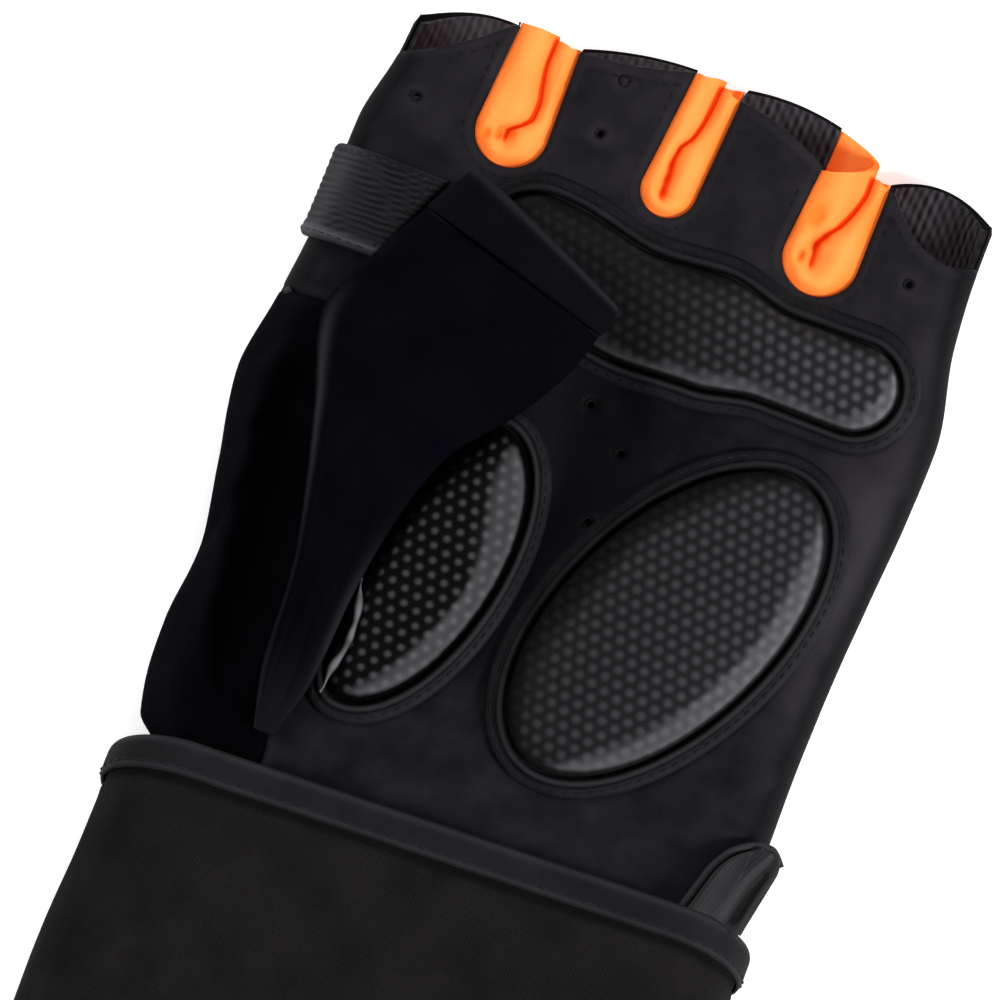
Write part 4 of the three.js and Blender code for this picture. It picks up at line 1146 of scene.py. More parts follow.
def build_facing(number):
    """Strip of knit on the back's inner side, right round to the side seam on the outer fingers, with a
    turned lower edge."""
    finger_x, half, *_ = FINGERS[number]
    t, s = np.meshgrid(np.linspace(0, 1, 34), np.linspace(0, 1, 72), indexing="ij")
    first, last = number == 0, number == len(FINGERS) - 1
    if first:
        s = s ** SIDE_CROWDING
    if last:
        s = 1 - (1 - s) ** SIDE_CROWDING
    y = finger_end(number, 1, lerp(-1, 1, s)) - lerp(FACING_LENGTH, FACING_TUCK, t)
    left, right, *_ = hand_at(y)
    start = left + SEAM_MARGIN if first else across(finger_x - half) + FACING_MARGIN
    end = right - SEAM_MARGIN if last else across(finger_x + half) - FACING_MARGIN
    x = lerp(start, end, s)
    base = np.stack([x, y, back_under(x, y)], -1)
    normal = grid_normals(base)
    base = base + normal * (FABRIC_WALL + 0.1 + end_taper(x, y))[..., None]
    from_low = t * (FACING_LENGTH - FACING_TUCK)
    bead = 0.3 * bell(from_low - 0.7, 0.5)
    waves = 0.12 * ripple(x, y * 0.3, 5, 60 + number)
    ribs = np.sin(TURN * x / KNIT_PITCH)
    outer = base + normal * (FACING_WALL + bead + waves + 0.05 * ribs)[..., None]
    name = FINGER_NAMES[number] + "_facing"
    # Each finger's level of painted light and shade, and a painted highlight on the turned lower edge
    shell_piece(name, outer, base, "mesh_knit", [name], painted_light_and_wear=FACING_PAINTED_LIGHT[number] + 1.2 * bead + 0.08 * ribs)


for number in range(len(FINGERS)):
    build_facing(number)


# Grip pads

def pad_point(pad, u, v):
    """Point of a pad's plan, its place along and across in millimetres, and its nearness to the rim."""
    pad_x, at, long, tilt, end_round, rows = pad
    turn = math.radians(tilt)
    short = np.clip(1 - ((1 - np.abs(u)) * long) / end_round, 0, 1)
    share = np.where(v < 0, column(rows, "left", u), column(rows, "right", u))
    half = HAND_LENGTH * share * np.sqrt(1 - short * short)
    far = u * long * HAND_LENGTH
    aside = HAND_LENGTH * column(rows, "middle", u) + v * half
    x = across(pad_x) + far * math.sin(turn) + aside * math.cos(turn)
    y = along(at) + far * math.cos(turn) - aside * math.sin(turn)
    return x, y, far, aside, np.sqrt(short * short + v * v - short * short * v * v)


def crown(nearness, half):
    """Height of a pad over its seat: a rim, then a quarter circle up to the crown."""
    inwards = np.clip(((1 - nearness) * half) / PAD_SHOULDER, 0, 1)
    return PAD_RIM + (PAD_HEIGHT - PAD_RIM) * np.sqrt(1 - (1 - inwards) ** 2)


# Dots on the pads
DOT_PITCH = 2.44
DOT_HEIGHT = 0.16
DOT_TURN = math.radians(17)

# Pads: the part of its solid that each fills, how far its crown lies below the solid's before it swells, and
# the direction in the plan from which the key light comes, which the sides with a painted highlight face
PAD_SINK = 0.45
GLOSS_WAY = (0.89, -0.45)


def from_dots(x, y):
    """Distance to the nearest dot: two lattices of rectangles, half a step apart both ways, make the
    hexagonal one."""
    up = (y * math.cos(DOT_TURN) - x * math.sin(DOT_TURN)) / DOT_PITCH
    over = (x * math.cos(DOT_TURN) + y * math.sin(DOT_TURN)) / (DOT_PITCH * math.sqrt(3))
    rows_off = [np.hypot((over + k - np.round(over + k)) * math.sqrt(3), up + k - np.round(up + k))
                for k in (0, 0.5)]
    return np.minimum(*rows_off) * DOT_PITCH


def build_pad(name, rows, columns, level, gain, start, ground, dot_tone, dot_radius):
    """Crowned pad with a hexagonal lattice of raised dots, which leans 17 degrees from the hand's length. The
    dots fade into a smooth band, painted as a highlight, on the side that faces the palm's low outer corner,
    where the key light comes from, and the side turned away is painted in shade. Its painted light is a level
    that gains over 50 mm from the start's x on, times the ground's tone and the dots' tone."""
    pad = PADS[name]
    width = HAND_LENGTH * pad[5]["right"].max()
    u = np.linspace(-1, 1, rows)
    u = lerp(u, np.sin(u * np.pi / 2), 0.45)[:, None]
    v = np.linspace(-1, 1, columns)
    v = lerp(v, np.sin(v * np.pi / 2), 0.3)[None, :]
    u, v = np.broadcast_arrays(u, v)
    x, y, far, aside, nearness = pad_point(pad, u, v)
    inwards = (1 - nearness) * width
    seat = palm_top(x, y) + SEAT_GAP
    swell = 0.25 * (1 - nearness ** 2) + 0.1 * ripple(x, y, 16, 70 + rows)
    dome = seat + crown(nearness, width) - PAD_SINK + swell
    slope = grid_normals(np.stack([x, y, dome], -1))
    slope = slope * np.sign(slope[..., 2:])
    facing_light = slope[..., 0] * GLOSS_WAY[0] + slope[..., 1] * GLOSS_WAY[1]
    # Painted highlight band on the side that faces the key light, and painted shade on the side turned away
    band = smooth((facing_light - 0.2) / 0.25) * smooth((inwards - 0.35) / 0.6)
    shade = smooth((-facing_light - 0.1) / 0.4)
    dots = np.exp(-(from_dots(x, y) / dot_radius) ** 3) * smooth(inwards / 1.4) * (1 - 0.5 * band)
    outer = np.stack([x, y, dome + DOT_HEIGHT * dots], -1)
    inner = np.stack([x, y, seat - 0.35], -1)
    uv = np.stack([far, aside], -1).reshape(-1, 2)
    points, faces = thicken(outer.reshape(-1, 3), inner.reshape(-1, 3), grid_faces(rows, columns))
    # Painted light: a level that gains towards the right, dimmed on the shaded side, with the highlight band
    # brighter near the rim
    lit = level + gain * smooth((x - start) / 50)
    crest = smooth((2 - inwards) / 1.3)
    lit_and_worn = (ground + dot_tone * dots) * lit * (1 - 0.7 * shade) + band * (0.36 + 0.25 * dots + 0.25 * crest)
    painted_light_and_wear = np.concatenate([lit_and_worn.ravel(), np.zeros(dots.size)])
    name = name + "_pad"
    pad_piece = make_piece(name, points, faces, "pad_leather", [name], np.tile(uv, (2, 1)), painted_light_and_wear, 60)


# Each pad's level and gain of painted light, and the ground's and the dots' tones
build_pad("bar", 250, 76, level=0.12, gain=0.9, start=-8, ground=0.08, dot_tone=0.4, dot_radius=0.72)
build_pad("thumb", 190, 76, level=0.7, gain=0.4, start=-20, ground=-0.06, dot_tone=0.5, dot_radius=0.6)
build_pad("heel", 220, 124, level=0.5, gain=0.33, start=-5, ground=0.07, dot_tone=0.32, dot_radius=0.74)

# Welt profile: distance out from the pad and height, both as shares of the welt's sizes, and the point where
# it is stitched
WELT_PROFILE = np.array([
    (0, -0.25), (0, 0.35), (0.03, 0.62), (0.1, 0.86), (0.2, 0.98), (0.3, 1), (0.39, 0.9), (0.45, 0.68),
    (0.5, 0.52), (0.58, 0.5), (0.7, 0.48), (0.84, 0.4), (0.94, 0.25), (1, 0.0), (1, -0.25),
])
WELT_STITCH_ROW = 10


def pad_outline(name, count=120):
    """Outline of a pad, with the direction away from it at each point."""
    u = -np.cos(np.linspace(0, np.pi, count + 1))
    there = np.stack(pad_point(PADS[name], u[:-1], np.ones(count))[:2], -1)
    back = np.stack(pad_point(PADS[name], u[:0:-1], -np.ones(count))[:2], -1)
    loop = np.concatenate([there, back])
    step = np.roll(loop, -1, axis=0) - np.roll(loop, 1, axis=0)
    away = unit(np.stack([step[:, 1], -step[:, 0]], -1))
    out = np.sign(((loop - loop.mean(0)) * away).sum(1))[:, None]
    return loop, away * out


def build_welt(name):
    """Corded ridge with a flat sewn band outside it, all round a pad."""
    loop, away = pad_outline(name)
    out = (SEAT_GAP + WELT_PROFILE[:, 0] * WELT_WIDTH)[None, :, None]
    plan = loop[:, None] + away[:, None] * out
    ridge = palm_top(plan[..., 0], plan[..., 1]) + SEAT_GAP + WELT_PROFILE[:, 1] * WELT_HEIGHT
    points = np.concatenate([plan, ridge[..., None]], -1)
    rows, columns = points.shape[:2]
    faces = grid_faces(rows, columns, True, True)
    # Painted highlight on the corded ridge and on the flat band, stronger on the side that faces the key light
    ridge_highlight = bell(WELT_PROFILE[:, 0] - 0.25, 0.1)
    lit = 0.5 + 0.5 * (away @ np.array(GLOSS_WAY))[:, None]
    painted_light_and_wear = ridge_highlight * (0.2 + 0.5 * lit) + 0.25 * lit ** 2 * (WELT_PROFILE[:, 0] > 0.5)
    make_piece(name + "_welt", points.reshape(-1, 3), faces, "welt_cloth", [name + "_welt"], grid_uv(points),
               painted_light_and_wear.ravel(), 55)
    path = np.concatenate([points[:, WELT_STITCH_ROW], points[:1, WELT_STITCH_ROW]])
    sew("palm", path, (0, 0, 1), **WELT_STITCH)


for name in PADS:
    build_welt(name)


# Thumb sleeve

def pad_cover(pad, x, y):
    """How high a pad with its welt stands over the palm at a place."""
    pad_x, at, long, tilt, end_round, rows = pad
    turn = math.radians(tilt)
    dx, dy = x - across(pad_x), y - along(at)
    far = dx * math.sin(turn) + dy * math.cos(turn)
    u = np.clip(far / (long * HAND_LENGTH), -1, 1)
    aside = dx * math.cos(turn) - dy * math.sin(turn) - HAND_LENGTH * column(rows, "middle", u)
    half = HAND_LENGTH * np.where(aside < 0, column(rows, "left", u), column(rows, "right", u))
    width = HAND_LENGTH * rows["right"].max()

    def past(grow):
        to_end = long * HAND_LENGTH + grow - np.abs(far)
        short = np.clip(1 - to_end / (end_round * HAND_LENGTH + grow), 0, 1)
        return np.hypot(short, aside / (half + grow))

    welt = np.where(past(SEAT_GAP + WELT_WIDTH + 1) < 1, SEAT_GAP + WELT_HEIGHT, 0)
    over = np.maximum(SEAT_GAP + crown(past(WELT_WIDTH), width + WELT_WIDTH), welt)
    return np.where(past(WELT_WIDTH) < 1, over, welt)


def sleeve_floor(x, y):
    """What the sleeve lies on: the palm without the gusset's valley, with pads, welts and the patch."""
    at = y / HAND_LENGTH + ORIGIN_ALONG
    margin = 0.04
    on_patch = (at > PATCH_LOW - margin) & (at < PATCH_HIGH + margin) & (x < across(PATCH_HIGH_X + margin))
    covers = [pad_cover(pad, x, y) for pad in PADS.values()]
    cover = np.maximum.reduce(covers + [np.where(on_patch, SEAM_GAP + PATCH_WALL, 0)])
    return palm_top(x, y, False) + cover + REST_GAP


def sleeve_point(at, angle, inset, relief=0):
    """Section of the sleeve: a superellipse between its left and right edges. Angle 0 is its right side,
    a quarter turn its top, and its underside lies on what is under it."""
    def value(name):
        return column(SLEEVE, name, at)

    left_x, left_y = across(value("leftX")), along(value("leftY"))
    right_x, right_y = across(value("rightX")), along(value("rightY"))
    squeeze = inset / np.hypot(left_x - right_x, left_y - right_y)
    share = lerp(squeeze, 1 - squeeze, (1 + np.cos(angle)) / 2)
    x, y = lerp(left_x, right_x, share), lerp(left_y, right_y, share)
    middle = upward(lerp(value("leftZ"), value("rightZ"), share))
    bulge = np.abs(np.sin(angle)) ** (2 / SLEEVE_ROUNDNESS)
    rise = upward(lerp(value("leftRise"), value("rightRise"), share)) - inset
    drop = middle - sleeve_floor(x, y) - inset
    over = middle + np.maximum(rise, 0.3) * bulge + relief * bulge
    return np.stack([x, y, np.where(angle < np.pi, over, middle - np.maximum(drop, 0.3) * bulge)], -1)


# Folds: both ends as place along and angle, then half width and depth. One unit along counts as six radians.
SLEEVE_CREASES = (
    (0.02, 1.2, 0.3, 1.6, 0.16, 0.5),
    (0.05, 2.2, 0.34, 1.9, 0.14, 0.5),
    (0.2, 1.0, 0.5, 1.15, 0.12, 0.4),
    (0.45, 2.0, 0.62, 1.5, 0.1, 0.35),
)
ALONG_TO_ANGLE = 6

# Angles of the rolled left edge, of the groove beside it and of the edge's painted highlight line
ROLL_ANGLE, GROOVE_ANGLE, RIM_ANGLE = 2.72, 2.42, 2.74
SLEEVE_SEAM_AT = 0.8
SLEEVE_STITCHED_AT = (0.8, 0.875)
SLEEVE_SIDES = 112


def sleeve_ripple(at, angle, wavelength, seed):
    """Unevenness of the sleeve, about in millimetres along and round it."""
    return ripple(at * 90, angle * 9, wavelength, seed)


def sleeve_relief(at, angle):
    """Folds from the root, a rolled left edge, a seam before the hem, and slow unevenness."""
    lines = [(a * ALONG_TO_ANGLE, b, c * ALONG_TO_ANGLE, d, e, f) for a, b, c, d, e, f in SLEEVE_CREASES]
    folds = creases(at * ALONG_TO_ANGLE, angle, lines)
    roll = 0.55 * bell(angle - ROLL_ANGLE, 0.13) - 0.5 * bell(angle - GROOVE_ANGLE, 0.11)
    roll = roll * smooth((0.75 - at) / 0.15) * smooth((at - 0.03) / 0.08)
    seam = -0.25 * bell(at - SLEEVE_SEAM_AT, 0.008)
    waves = 0.22 * sleeve_ripple(at, angle, 22, 30) + 0.05 * sleeve_ripple(at, angle, 6, 31)
    return folds + roll + seam + waves


def build_sleeve():
    """Tube with a closed root, a hollow, and the thumb hole in its underside."""
    rows, sides = 130, SLEEVE_SIDES
    at = np.linspace(0, HEM_START, rows)[:, None]
    angle = np.linspace(0, 2 * np.pi, sides, endpoint=False)[None, :]
    at, angle = np.broadcast_arrays(at, angle)
    outer = sleeve_point(at, angle, 0, sleeve_relief(at, angle))
    inner = sleeve_point(np.maximum(at, CAVITY_START + at * 0.01), angle, SLEEVE_WALL)
    faces = grid_faces(rows, sides, True)
    middle = outer.reshape(-1, 3)[faces].mean(1)
    under = np.sin(angle.ravel()[faces[:, 0]] + np.pi / sides) < 0
    faces = faces[~(under & (hole_field(middle[:, 0], middle[:, 1]) > 0))]
    # Painted highlight along the rim of the rolled left edge, painted light on the lower right where the key
    # light falls, and a lighter root
    rim = bell(angle - RIM_ANGLE, 0.13) * smooth((0.78 - at) / 0.15)
    rim = rim * (0.25 + 0.75 * smooth((at - 0.3) / 0.3))
    low_right = bell(angle - 0.35, 0.3) * bell(at - 0.22, 0.13)
    root = 0.5 * bell(at, 0.12)
    painted_light_and_wear = np.clip(0.6 * rim + 0.4 * low_right + 0.3 * root, 0, 1)
    shell_piece("thumb_sleeve", outer, inner, "sleeve_cloth", ["thumb_sleeve"], faces, painted_light_and_wear, True, 60)
    normal = grid_normals(outer, True)
    top = slice(6, 52)
    for place in SLEEVE_STITCHED_AT:
        row = np.abs(at[:, 0] - place).argmin()
        sew("sleeve", outer[row, top], -normal[row, top], **SLEEVE_STITCH)


# Place of the hem's stitched groove across its width
HEM_STITCHED_AT = 0.7


def build_hem():
    """Band round the sleeve's end, a little proud of it, with a turned lip and a stitched groove."""
    rows, sides = 26, SLEEVE_SIDES
    start = HEM_START + SEAM_GAP / FINGER_LENGTH / 2
    at = np.linspace(start, HEM_END, rows)[:, None]
    angle = np.linspace(0, 2 * np.pi, sides, endpoint=False)[None, :]
    at, angle = np.broadcast_arrays(at, angle)
    share = (at - start) / (HEM_END - start)
    lip = 0.45 * (1 - shoulder(1 - share, 0.2)) + 0.3 * (1 - shoulder(share, 0.15))
    dip = 0.12 * bell(share - HEM_STITCHED_AT, 0.08)
    outer = sleeve_point(at, angle, -HEM_PROUD + lip + dip, 0.12 * sleeve_ripple(at, angle, 9, 33))
    inner = sleeve_point(at, angle, HEM_WALL - HEM_PROUD)
    # Painted highlight on the lip at the sleeve's end
    painted_light_and_wear = 0.05 + 0.35 * bell(share - 0.93, 0.08)
    shell_piece("thumb_hem", outer, inner, "sleeve_cloth", ["thumb_hem"], None, painted_light_and_wear, True, 60)
    normal = grid_normals(outer, True)
    row = np.abs(share[:, 0] - HEM_STITCHED_AT).argmin()
    top = slice(4, 52)
    sew("sleeve", outer[row, top], -normal[row, top], **SLEEVE_STITCH)


# Path of the turned lip beside the sleeve, its half thickness, and its points along and round
SLEEVE_FOLD = table(
    "at x y z",
    (0, -26.6, -9.5, 27.9),
    (0.2, -26.0, -12.4, 28.1),
    (0.4, -24.9, -17.4, 27.9),
    (0.6, -25.3, -21.3, 27.4),
    (0.8, -26.0, -25.7, 26.9),
    (1, -26.6, -29.4, 26.4),
)
FOLD_GIRTH = 0.66
FOLD_POINTS, FOLD_SIDES = 70, 14


def build_sleeve_fold():
    """Turned lip of leather that peeps out under the sleeve's right edge, thinner at both its ends."""
    t = np.linspace(0, 1, FOLD_POINTS)
    path = np.stack([column(SLEEVE_FOLD, axis, t) for axis in "xyz"], -1)
    path[:, 0] += 0.25 * ripple(t * 16, t, 5, 91)
    taper = np.sin(np.pi * np.clip(t, 0.02, 0.98)) ** 0.4
    points = tube_points(path, FOLD_GIRTH * taper * (1 + 0.25 * ripple(t * 16, t, 3.5, 92)), FOLD_SIDES)
    faces = grid_faces(FOLD_POINTS, FOLD_SIDES, True)
    angle = np.linspace(0, 2 * np.pi, FOLD_SIDES, endpoint=False)
    # Painted highlight along the fold's upper side, uneven along it
    painted_light_and_wear = (0.95 + 0.35 * ripple(t * 16, t, 3, 93))[:, None] * bell(angle - 1.3, 0.75)
    make_piece("sleeve_edge_fold", points.reshape(-1, 3), faces, "pad_leather", (), grid_uv(points),
               painted_light_and_wear.ravel(), 70)


# Ends of the bar of thread, and the way that the cloth faces there
TACK_FROM, TACK_TO = (-55.9, 31.2), (-54.2, 29.6)
TACK_UP = (-0.5, 0, 0.86)


def sew_tack():
    """Short thick bar of thread at the top corner of the gusset."""
    for shift in np.linspace(-0.45, 0.45, 4):
        x = np.linspace(TACK_FROM[0], TACK_TO[0], 8) + shift * 0.6
        y = np.linspace(TACK_FROM[1], TACK_TO[1], 8) + shift * 0.8
        path = np.stack([x, y, palm_top(x, y) + 0.25], -1)
        sew("tack", path, TACK_UP, start=0.0, **TACK_STITCH)


build_sleeve()
build_hem()
build_sleeve_fold()
sew_tack()


# Wrist wrap

def wrap_top_y(x, z):
    """The wrap's top edge climbs with height and leans towards the little finger's side."""
    aloft = z / (WRAP_HEIGHT / 2) - 1
    return along(WRAP_EDGE_AT + WRAP_EDGE_RISE * aloft) + WRAP_EDGE_LEAN * HAND_LENGTH * x / (WRAP_SPAN / 2)


def wrap_point(turn, down, inset):
    """Point round the wrap. A turn has four parts: up the right side, over, down the left side, under. The
    first part of the winding lies one layer deeper."""
    radius = WRAP_HEIGHT / 2
    settled = smooth((turn - WRAP_INNER_END) / (WRAP_SETTLED - WRAP_INNER_END))
    layer = WRAP_WALL + 2 * BINDING_WALL + 3 * SEAM_GAP
    depth = radius - inset - layer * (1 - settled)
    reach = column(WRAP_SHARES, "span", down) * WRAP_SPAN / 2 - radius
    quarter = np.floor(turn).astype(int) % 4
    part = turn - np.floor(turn)
    sign = np.where(quarter < 2, 1, -1)
    angle = np.pi * (part - 0.5)
    bent = quarter % 2 == 0
    x = sign * np.where(bent, reach + depth * np.cos(angle), lerp(reach, -reach, part))
    z = radius + sign * depth * np.where(bent, np.sin(angle), 1)
    return x, z


def wrap_place(turn, distance, inset):
    """Point of the wrap at a distance down from its top edge."""
    down = distance / WRAP_WIDTH
    x, z = wrap_point(turn, np.clip(down, 0, 1), inset)
    return np.stack([x, wrap_top_y(x, z) - distance, z], -1)


WRAP_ROUND_COUNT = 300


def wrap_turns(count):
    """Places round the wrap, closer together on its bends."""
    turn = np.linspace(WRAP_START, WRAP_END, 4000)
    bent = np.floor(turn).astype(int) % 2 == 0
    weight = np.cumsum(np.where(bent, 1.6, 1.0))
    return np.interp(np.linspace(weight[0], weight[-1], count), weight, turn)


# Millimetres that a quarter of the wrap counts for in its waves
TURN_RUN = 60


def wrap_sag(turn, distance):
    """Soft inward waves of the elastic, which end at its tapes."""
    waves = 0.3 * (1 + ripple(turn * TURN_RUN, distance, 30, 51))
    waves = waves + 0.12 * (1 + ripple(turn * TURN_RUN, distance, 11, 52))
    below_top = smooth((distance - BINDING_WIDTH) / 5)
    above_bottom = smooth((WRAP_WIDTH - BINDING_WIDTH - distance) / 5)
    return waves * below_top * above_bottom


# How far inside the tapes' edges the elastic ends
WRAP_SET_IN = 1.2


def build_wrap():
    """Elastic between its tapes, with soft waves and a pressed groove beside each tape."""
    down = np.linspace(WRAP_SET_IN, WRAP_WIDTH - WRAP_SET_IN, 52)
    turn, distance = np.meshgrid(wrap_turns(WRAP_ROUND_COUNT), down, indexing="ij")
    tuck = BINDING_WALL + SEAM_GAP * 0.5
    from_tape = np.minimum(distance, WRAP_WIDTH - distance) - BINDING_WIDTH
    groove = 0.55 * bell(from_tape - 0.35, 0.6)
    outer = wrap_place(turn, distance, tuck + 0.6 * wrap_sag(turn, distance) + groove)
    inner = wrap_place(turn, distance, tuck + WRAP_WALL)
    # Painted shade along the pressed groove beside each tape
    painted_light_and_wear = -0.8 * bell(from_tape, 0.8)
    shell_piece("wrist_wrap", outer, inner, "wrap_elastic", ["wrist_wrap"], painted_light_and_wear=painted_light_and_wear)


# The tapes' stitches run this far inside the tapes' inner edges
TAPE_STITCH_IN = 1.3


def build_binding(name, from_end):
    """Folded tape: its section runs down the outside, round the edge by a half circle and up the inside."""
    depth = WRAP_WALL + 2 * BINDING_WALL + 2 * SEAM_GAP
    bend = depth / 2
    flat = np.linspace(BINDING_WIDTH, bend, 9)
    swing = np.linspace(0, np.pi, 15)[1:-1]
    distance = np.concatenate([flat, bend - bend * np.sin(swing), flat[::-1]])
    inset = np.concatenate([flat * 0, bend - bend * np.cos(swing), flat * 0 + depth])
    side = np.sign(bend - inset)
    turn = wrap_turns(WRAP_ROUND_COUNT)[:, None]
    lip = 0.35 * bell(distance - BINDING_WIDTH, 0.5)
    wavy = 0.1 * ripple(turn * TURN_RUN, distance + 5 * from_end, 12, 55)
    fold_distance = distance + np.where(distance < bend, BINDING_WALL, 0)
    fold_inset = np.clip(inset, BINDING_WALL, depth - BINDING_WALL)
    reach = WRAP_WIDTH - distance if from_end else distance
    fold_reach = WRAP_WIDTH - fold_distance if from_end else fold_distance
    outer = wrap_place(turn, reach, inset + (lip + wavy) * side)
    inner = wrap_place(turn, fold_reach, fold_inset)
    # Painted highlights along the tape's top ridge and its lower edge, on the outer side only
    crest = bell(distance - 1.1, 0.7) + bell(distance - BINDING_WIDTH + 0.5, 0.4)
    painted_light_and_wear = 0.05 + 0.4 * crest * (inset < bend)
    shell_piece(name, outer, inner, "binding_tape", [name], None, painted_light_and_wear[None, :], crisp=60)
    row = np.abs(flat - (BINDING_WIDTH - TAPE_STITCH_IN)).argmin()
    shown = (turn[:, 0] > WRAP_INNER_END) & (turn[:, 0] < WRAP_END)
    path = outer[shown, row]
    further_in = wrap_place(turn[shown, 0], reach[row], 6)
    sew("wrap", path, unit(path - further_in), **WRAP_STITCH)


build_wrap()
build_binding("wrap_binding_top", False)
build_binding("wrap_binding_bottom", True)


# Pull loop and its piping

def loop_place(far, aside, lift):
    """Place on the pull loop: far runs out from the wrap and aside runs across it."""
    lean = math.radians(LOOP_LEAN)
    root_x = across(LOOP_ROOT_X)
    clear = SEAT_GAP + LOOP_WALL + LOOP_WIDTH / 2 * math.sin(lean)
    root_y = wrap_top_y(root_x, WRAP_HEIGHT * LOOP_LEVEL) + clear
    x = root_x + far * math.sin(lean) + aside * math.cos(lean)
    y = root_y + far * math.cos(lean) - aside * math.sin(lean)
    brim = hand_at(y)[1] - LOOP_BRIM * SIDE_ROUND
    return np.stack([x, y, palm_top(np.minimum(x, brim), y) + SEAT_GAP + lift], -1)


# The strap's tip, and where its left and its right edge start to bend in
ARCH_TIP, LEFT_BEND, RIGHT_BEND = 13.0, 4, 10


def arch_sides(far):
    """Left and right edges of the strap at a distance out: the left one bends in by a power of the distance
    and the right one by a quarter ellipse near the tip."""
    left = -3.8 + 4.6 * np.clip((far - LEFT_BEND) / (ARCH_TIP - LEFT_BEND), 0, 1) ** 2.2
    short = np.clip((far - RIGHT_BEND) / (ARCH_TIP - RIGHT_BEND), 0, 1)
    right = 2.4 + (3.5 - 0.09 * far) * np.sqrt(1 - 0.9 * short ** 2)
    return left, right


def build_loop():
    """Folded strap: out along the hand, round its tip and back on top. It narrows to an arch, with a smooth
    band along its middle painted as a highlight, and a deep channel beside it painted dark as shade."""
    run = np.linspace(-1.5, LOOP_LENGTH, 40)
    swing = np.linspace(-np.pi / 2, np.pi / 2, 17)[1:-1]
    far = np.concatenate([run, LOOP_LENGTH + LOOP_FOLD * np.cos(swing), run[::-1]])
    lift = np.concatenate([run * 0, LOOP_FOLD * (1 + np.sin(swing)), run * 0 + 2 * LOOP_FOLD])
    out = np.concatenate([run * 0, np.cos(swing), run * 0])
    up = np.concatenate([run * 0 - 1, np.sin(swing), run * 0 + 1])
    shrink = (ARCH_TIP - LOOP_WALL / 2) / (LOOP_LENGTH + LOOP_FOLD)
    far = np.where(far > 0, far * shrink, far)
    left, right = arch_sides(far)
    share = np.linspace(0, 1, 44)[:, None]
    aside = lerp(left, right, share)
    far = far + (0.27 * aside - 1.15) * smooth((1 - far) / 2.5)
    edge = np.abs(share * 2 - 1)
    thin = 1 - 0.45 * smooth((edge - 0.85) / 0.15)
    inside = smooth((far + 1) / 2) * smooth((ARCH_TIP - 2.5 - far) / 2)
    channel = bell(share - 0.77, 0.07) * inside
    hollow = (up > 0.5) * (-0.3 * (1 - edge ** 2) * smooth((far + 1) / 6) - 0.45 * channel)
    half = LOOP_WALL / 2 * thin
    outer = loop_place(far + out * half, aside, lift + LOOP_WALL / 2 + up * half + hollow)
    inner = loop_place(far - out * half, aside, lift + LOOP_WALL / 2 - up * half + hollow)
    # Painted highlight along the middle and near the right edge, and painted shade in the channel, on the
    # upper layer
    band = bell(share - 0.55, 0.1) + 0.5 * bell(share - 0.93, 0.06)
    painted_light_and_wear = 0.08 + (0.45 * band - 0.7 * channel) * (up > 0)
    shell_piece("pull_loop", outer, inner, "loop_tape", ["pull_loop"], None, painted_light_and_wear, crisp=60)


# Piping: its path as distances out and aside, the sides of its section and its lightness
PIPING_PATH = table(
    "at far aside",
    (0, -3.9, -4.6), (0.3, 3.8, -4.6), (0.5, 8.0, -3.9), (0.65, 10.8, -2.3),
    (0.8, 12.9, 0.1), (0.88, 13.5, 1.9), (0.94, 13.0, 3.3), (1, 12.1, 4.7),
)
PIPING_SIDES = 12
PIPING_TONE = 0.7


def build_piping():
    """Corded edge along the strap's left side and round its tip, thinner towards its end. A fan of faces
    closes each end."""
    place = np.linspace(0, 1, 56)
    count = len(place)
    path = loop_place(column(PIPING_PATH, "far", place), column(PIPING_PATH, "aside", place),
                      np.full(count, LOOP_FOLD + LOOP_WALL / 2))
    taper = np.clip(1.1 - 0.5 * smooth((place - 0.7) / 0.3), 0, 1)
    rings = tube_points(path, PIPING_BORE / 2 * taper, PIPING_SIDES)
    total = count * PIPING_SIDES
    k = np.arange(PIPING_SIDES)
    fans = []
    for n, row in enumerate((0, count - 1)):
        middle = np.full(PIPING_SIDES, total + n)
        start = row * PIPING_SIDES
        fans.append(np.stack([start + k, start + (k + 1) % PIPING_SIDES, middle, middle], 1))
    points = np.concatenate([rings.reshape(-1, 3), path[[0, -1]]])
    faces = np.concatenate([grid_faces(count, PIPING_SIDES, True), *fans])
    uv = np.concatenate([grid_uv(rings), np.zeros((2, 2))])
    painted_light_and_wear = np.full(len(points), PIPING_TONE)
    make_piece("loop_piping", points, faces, "binding_tape", ["loop_piping"], uv, painted_light_and_wear, 60)


build_loop()
build_piping()


# Sewn rows on the palm, and eyelets round the vents

# Distances of the stitches from a slot, from the corners and the middle of a finger's end, and from the
# gusset
SLOT_MARGIN, CORNER_MARGIN, END_MARGIN, GUSSET_MARGIN = 1.9, 3.2, 2.2, 1.8


def sew_on_palm(x, y):
    """Cloth stitches along a line on the palm."""
    sew("palm", np.stack([x, y, palm_top(x, y) + palm_cloth_relief(x, y)], -1), (0, 0, 1), **CLOTH_STITCH)


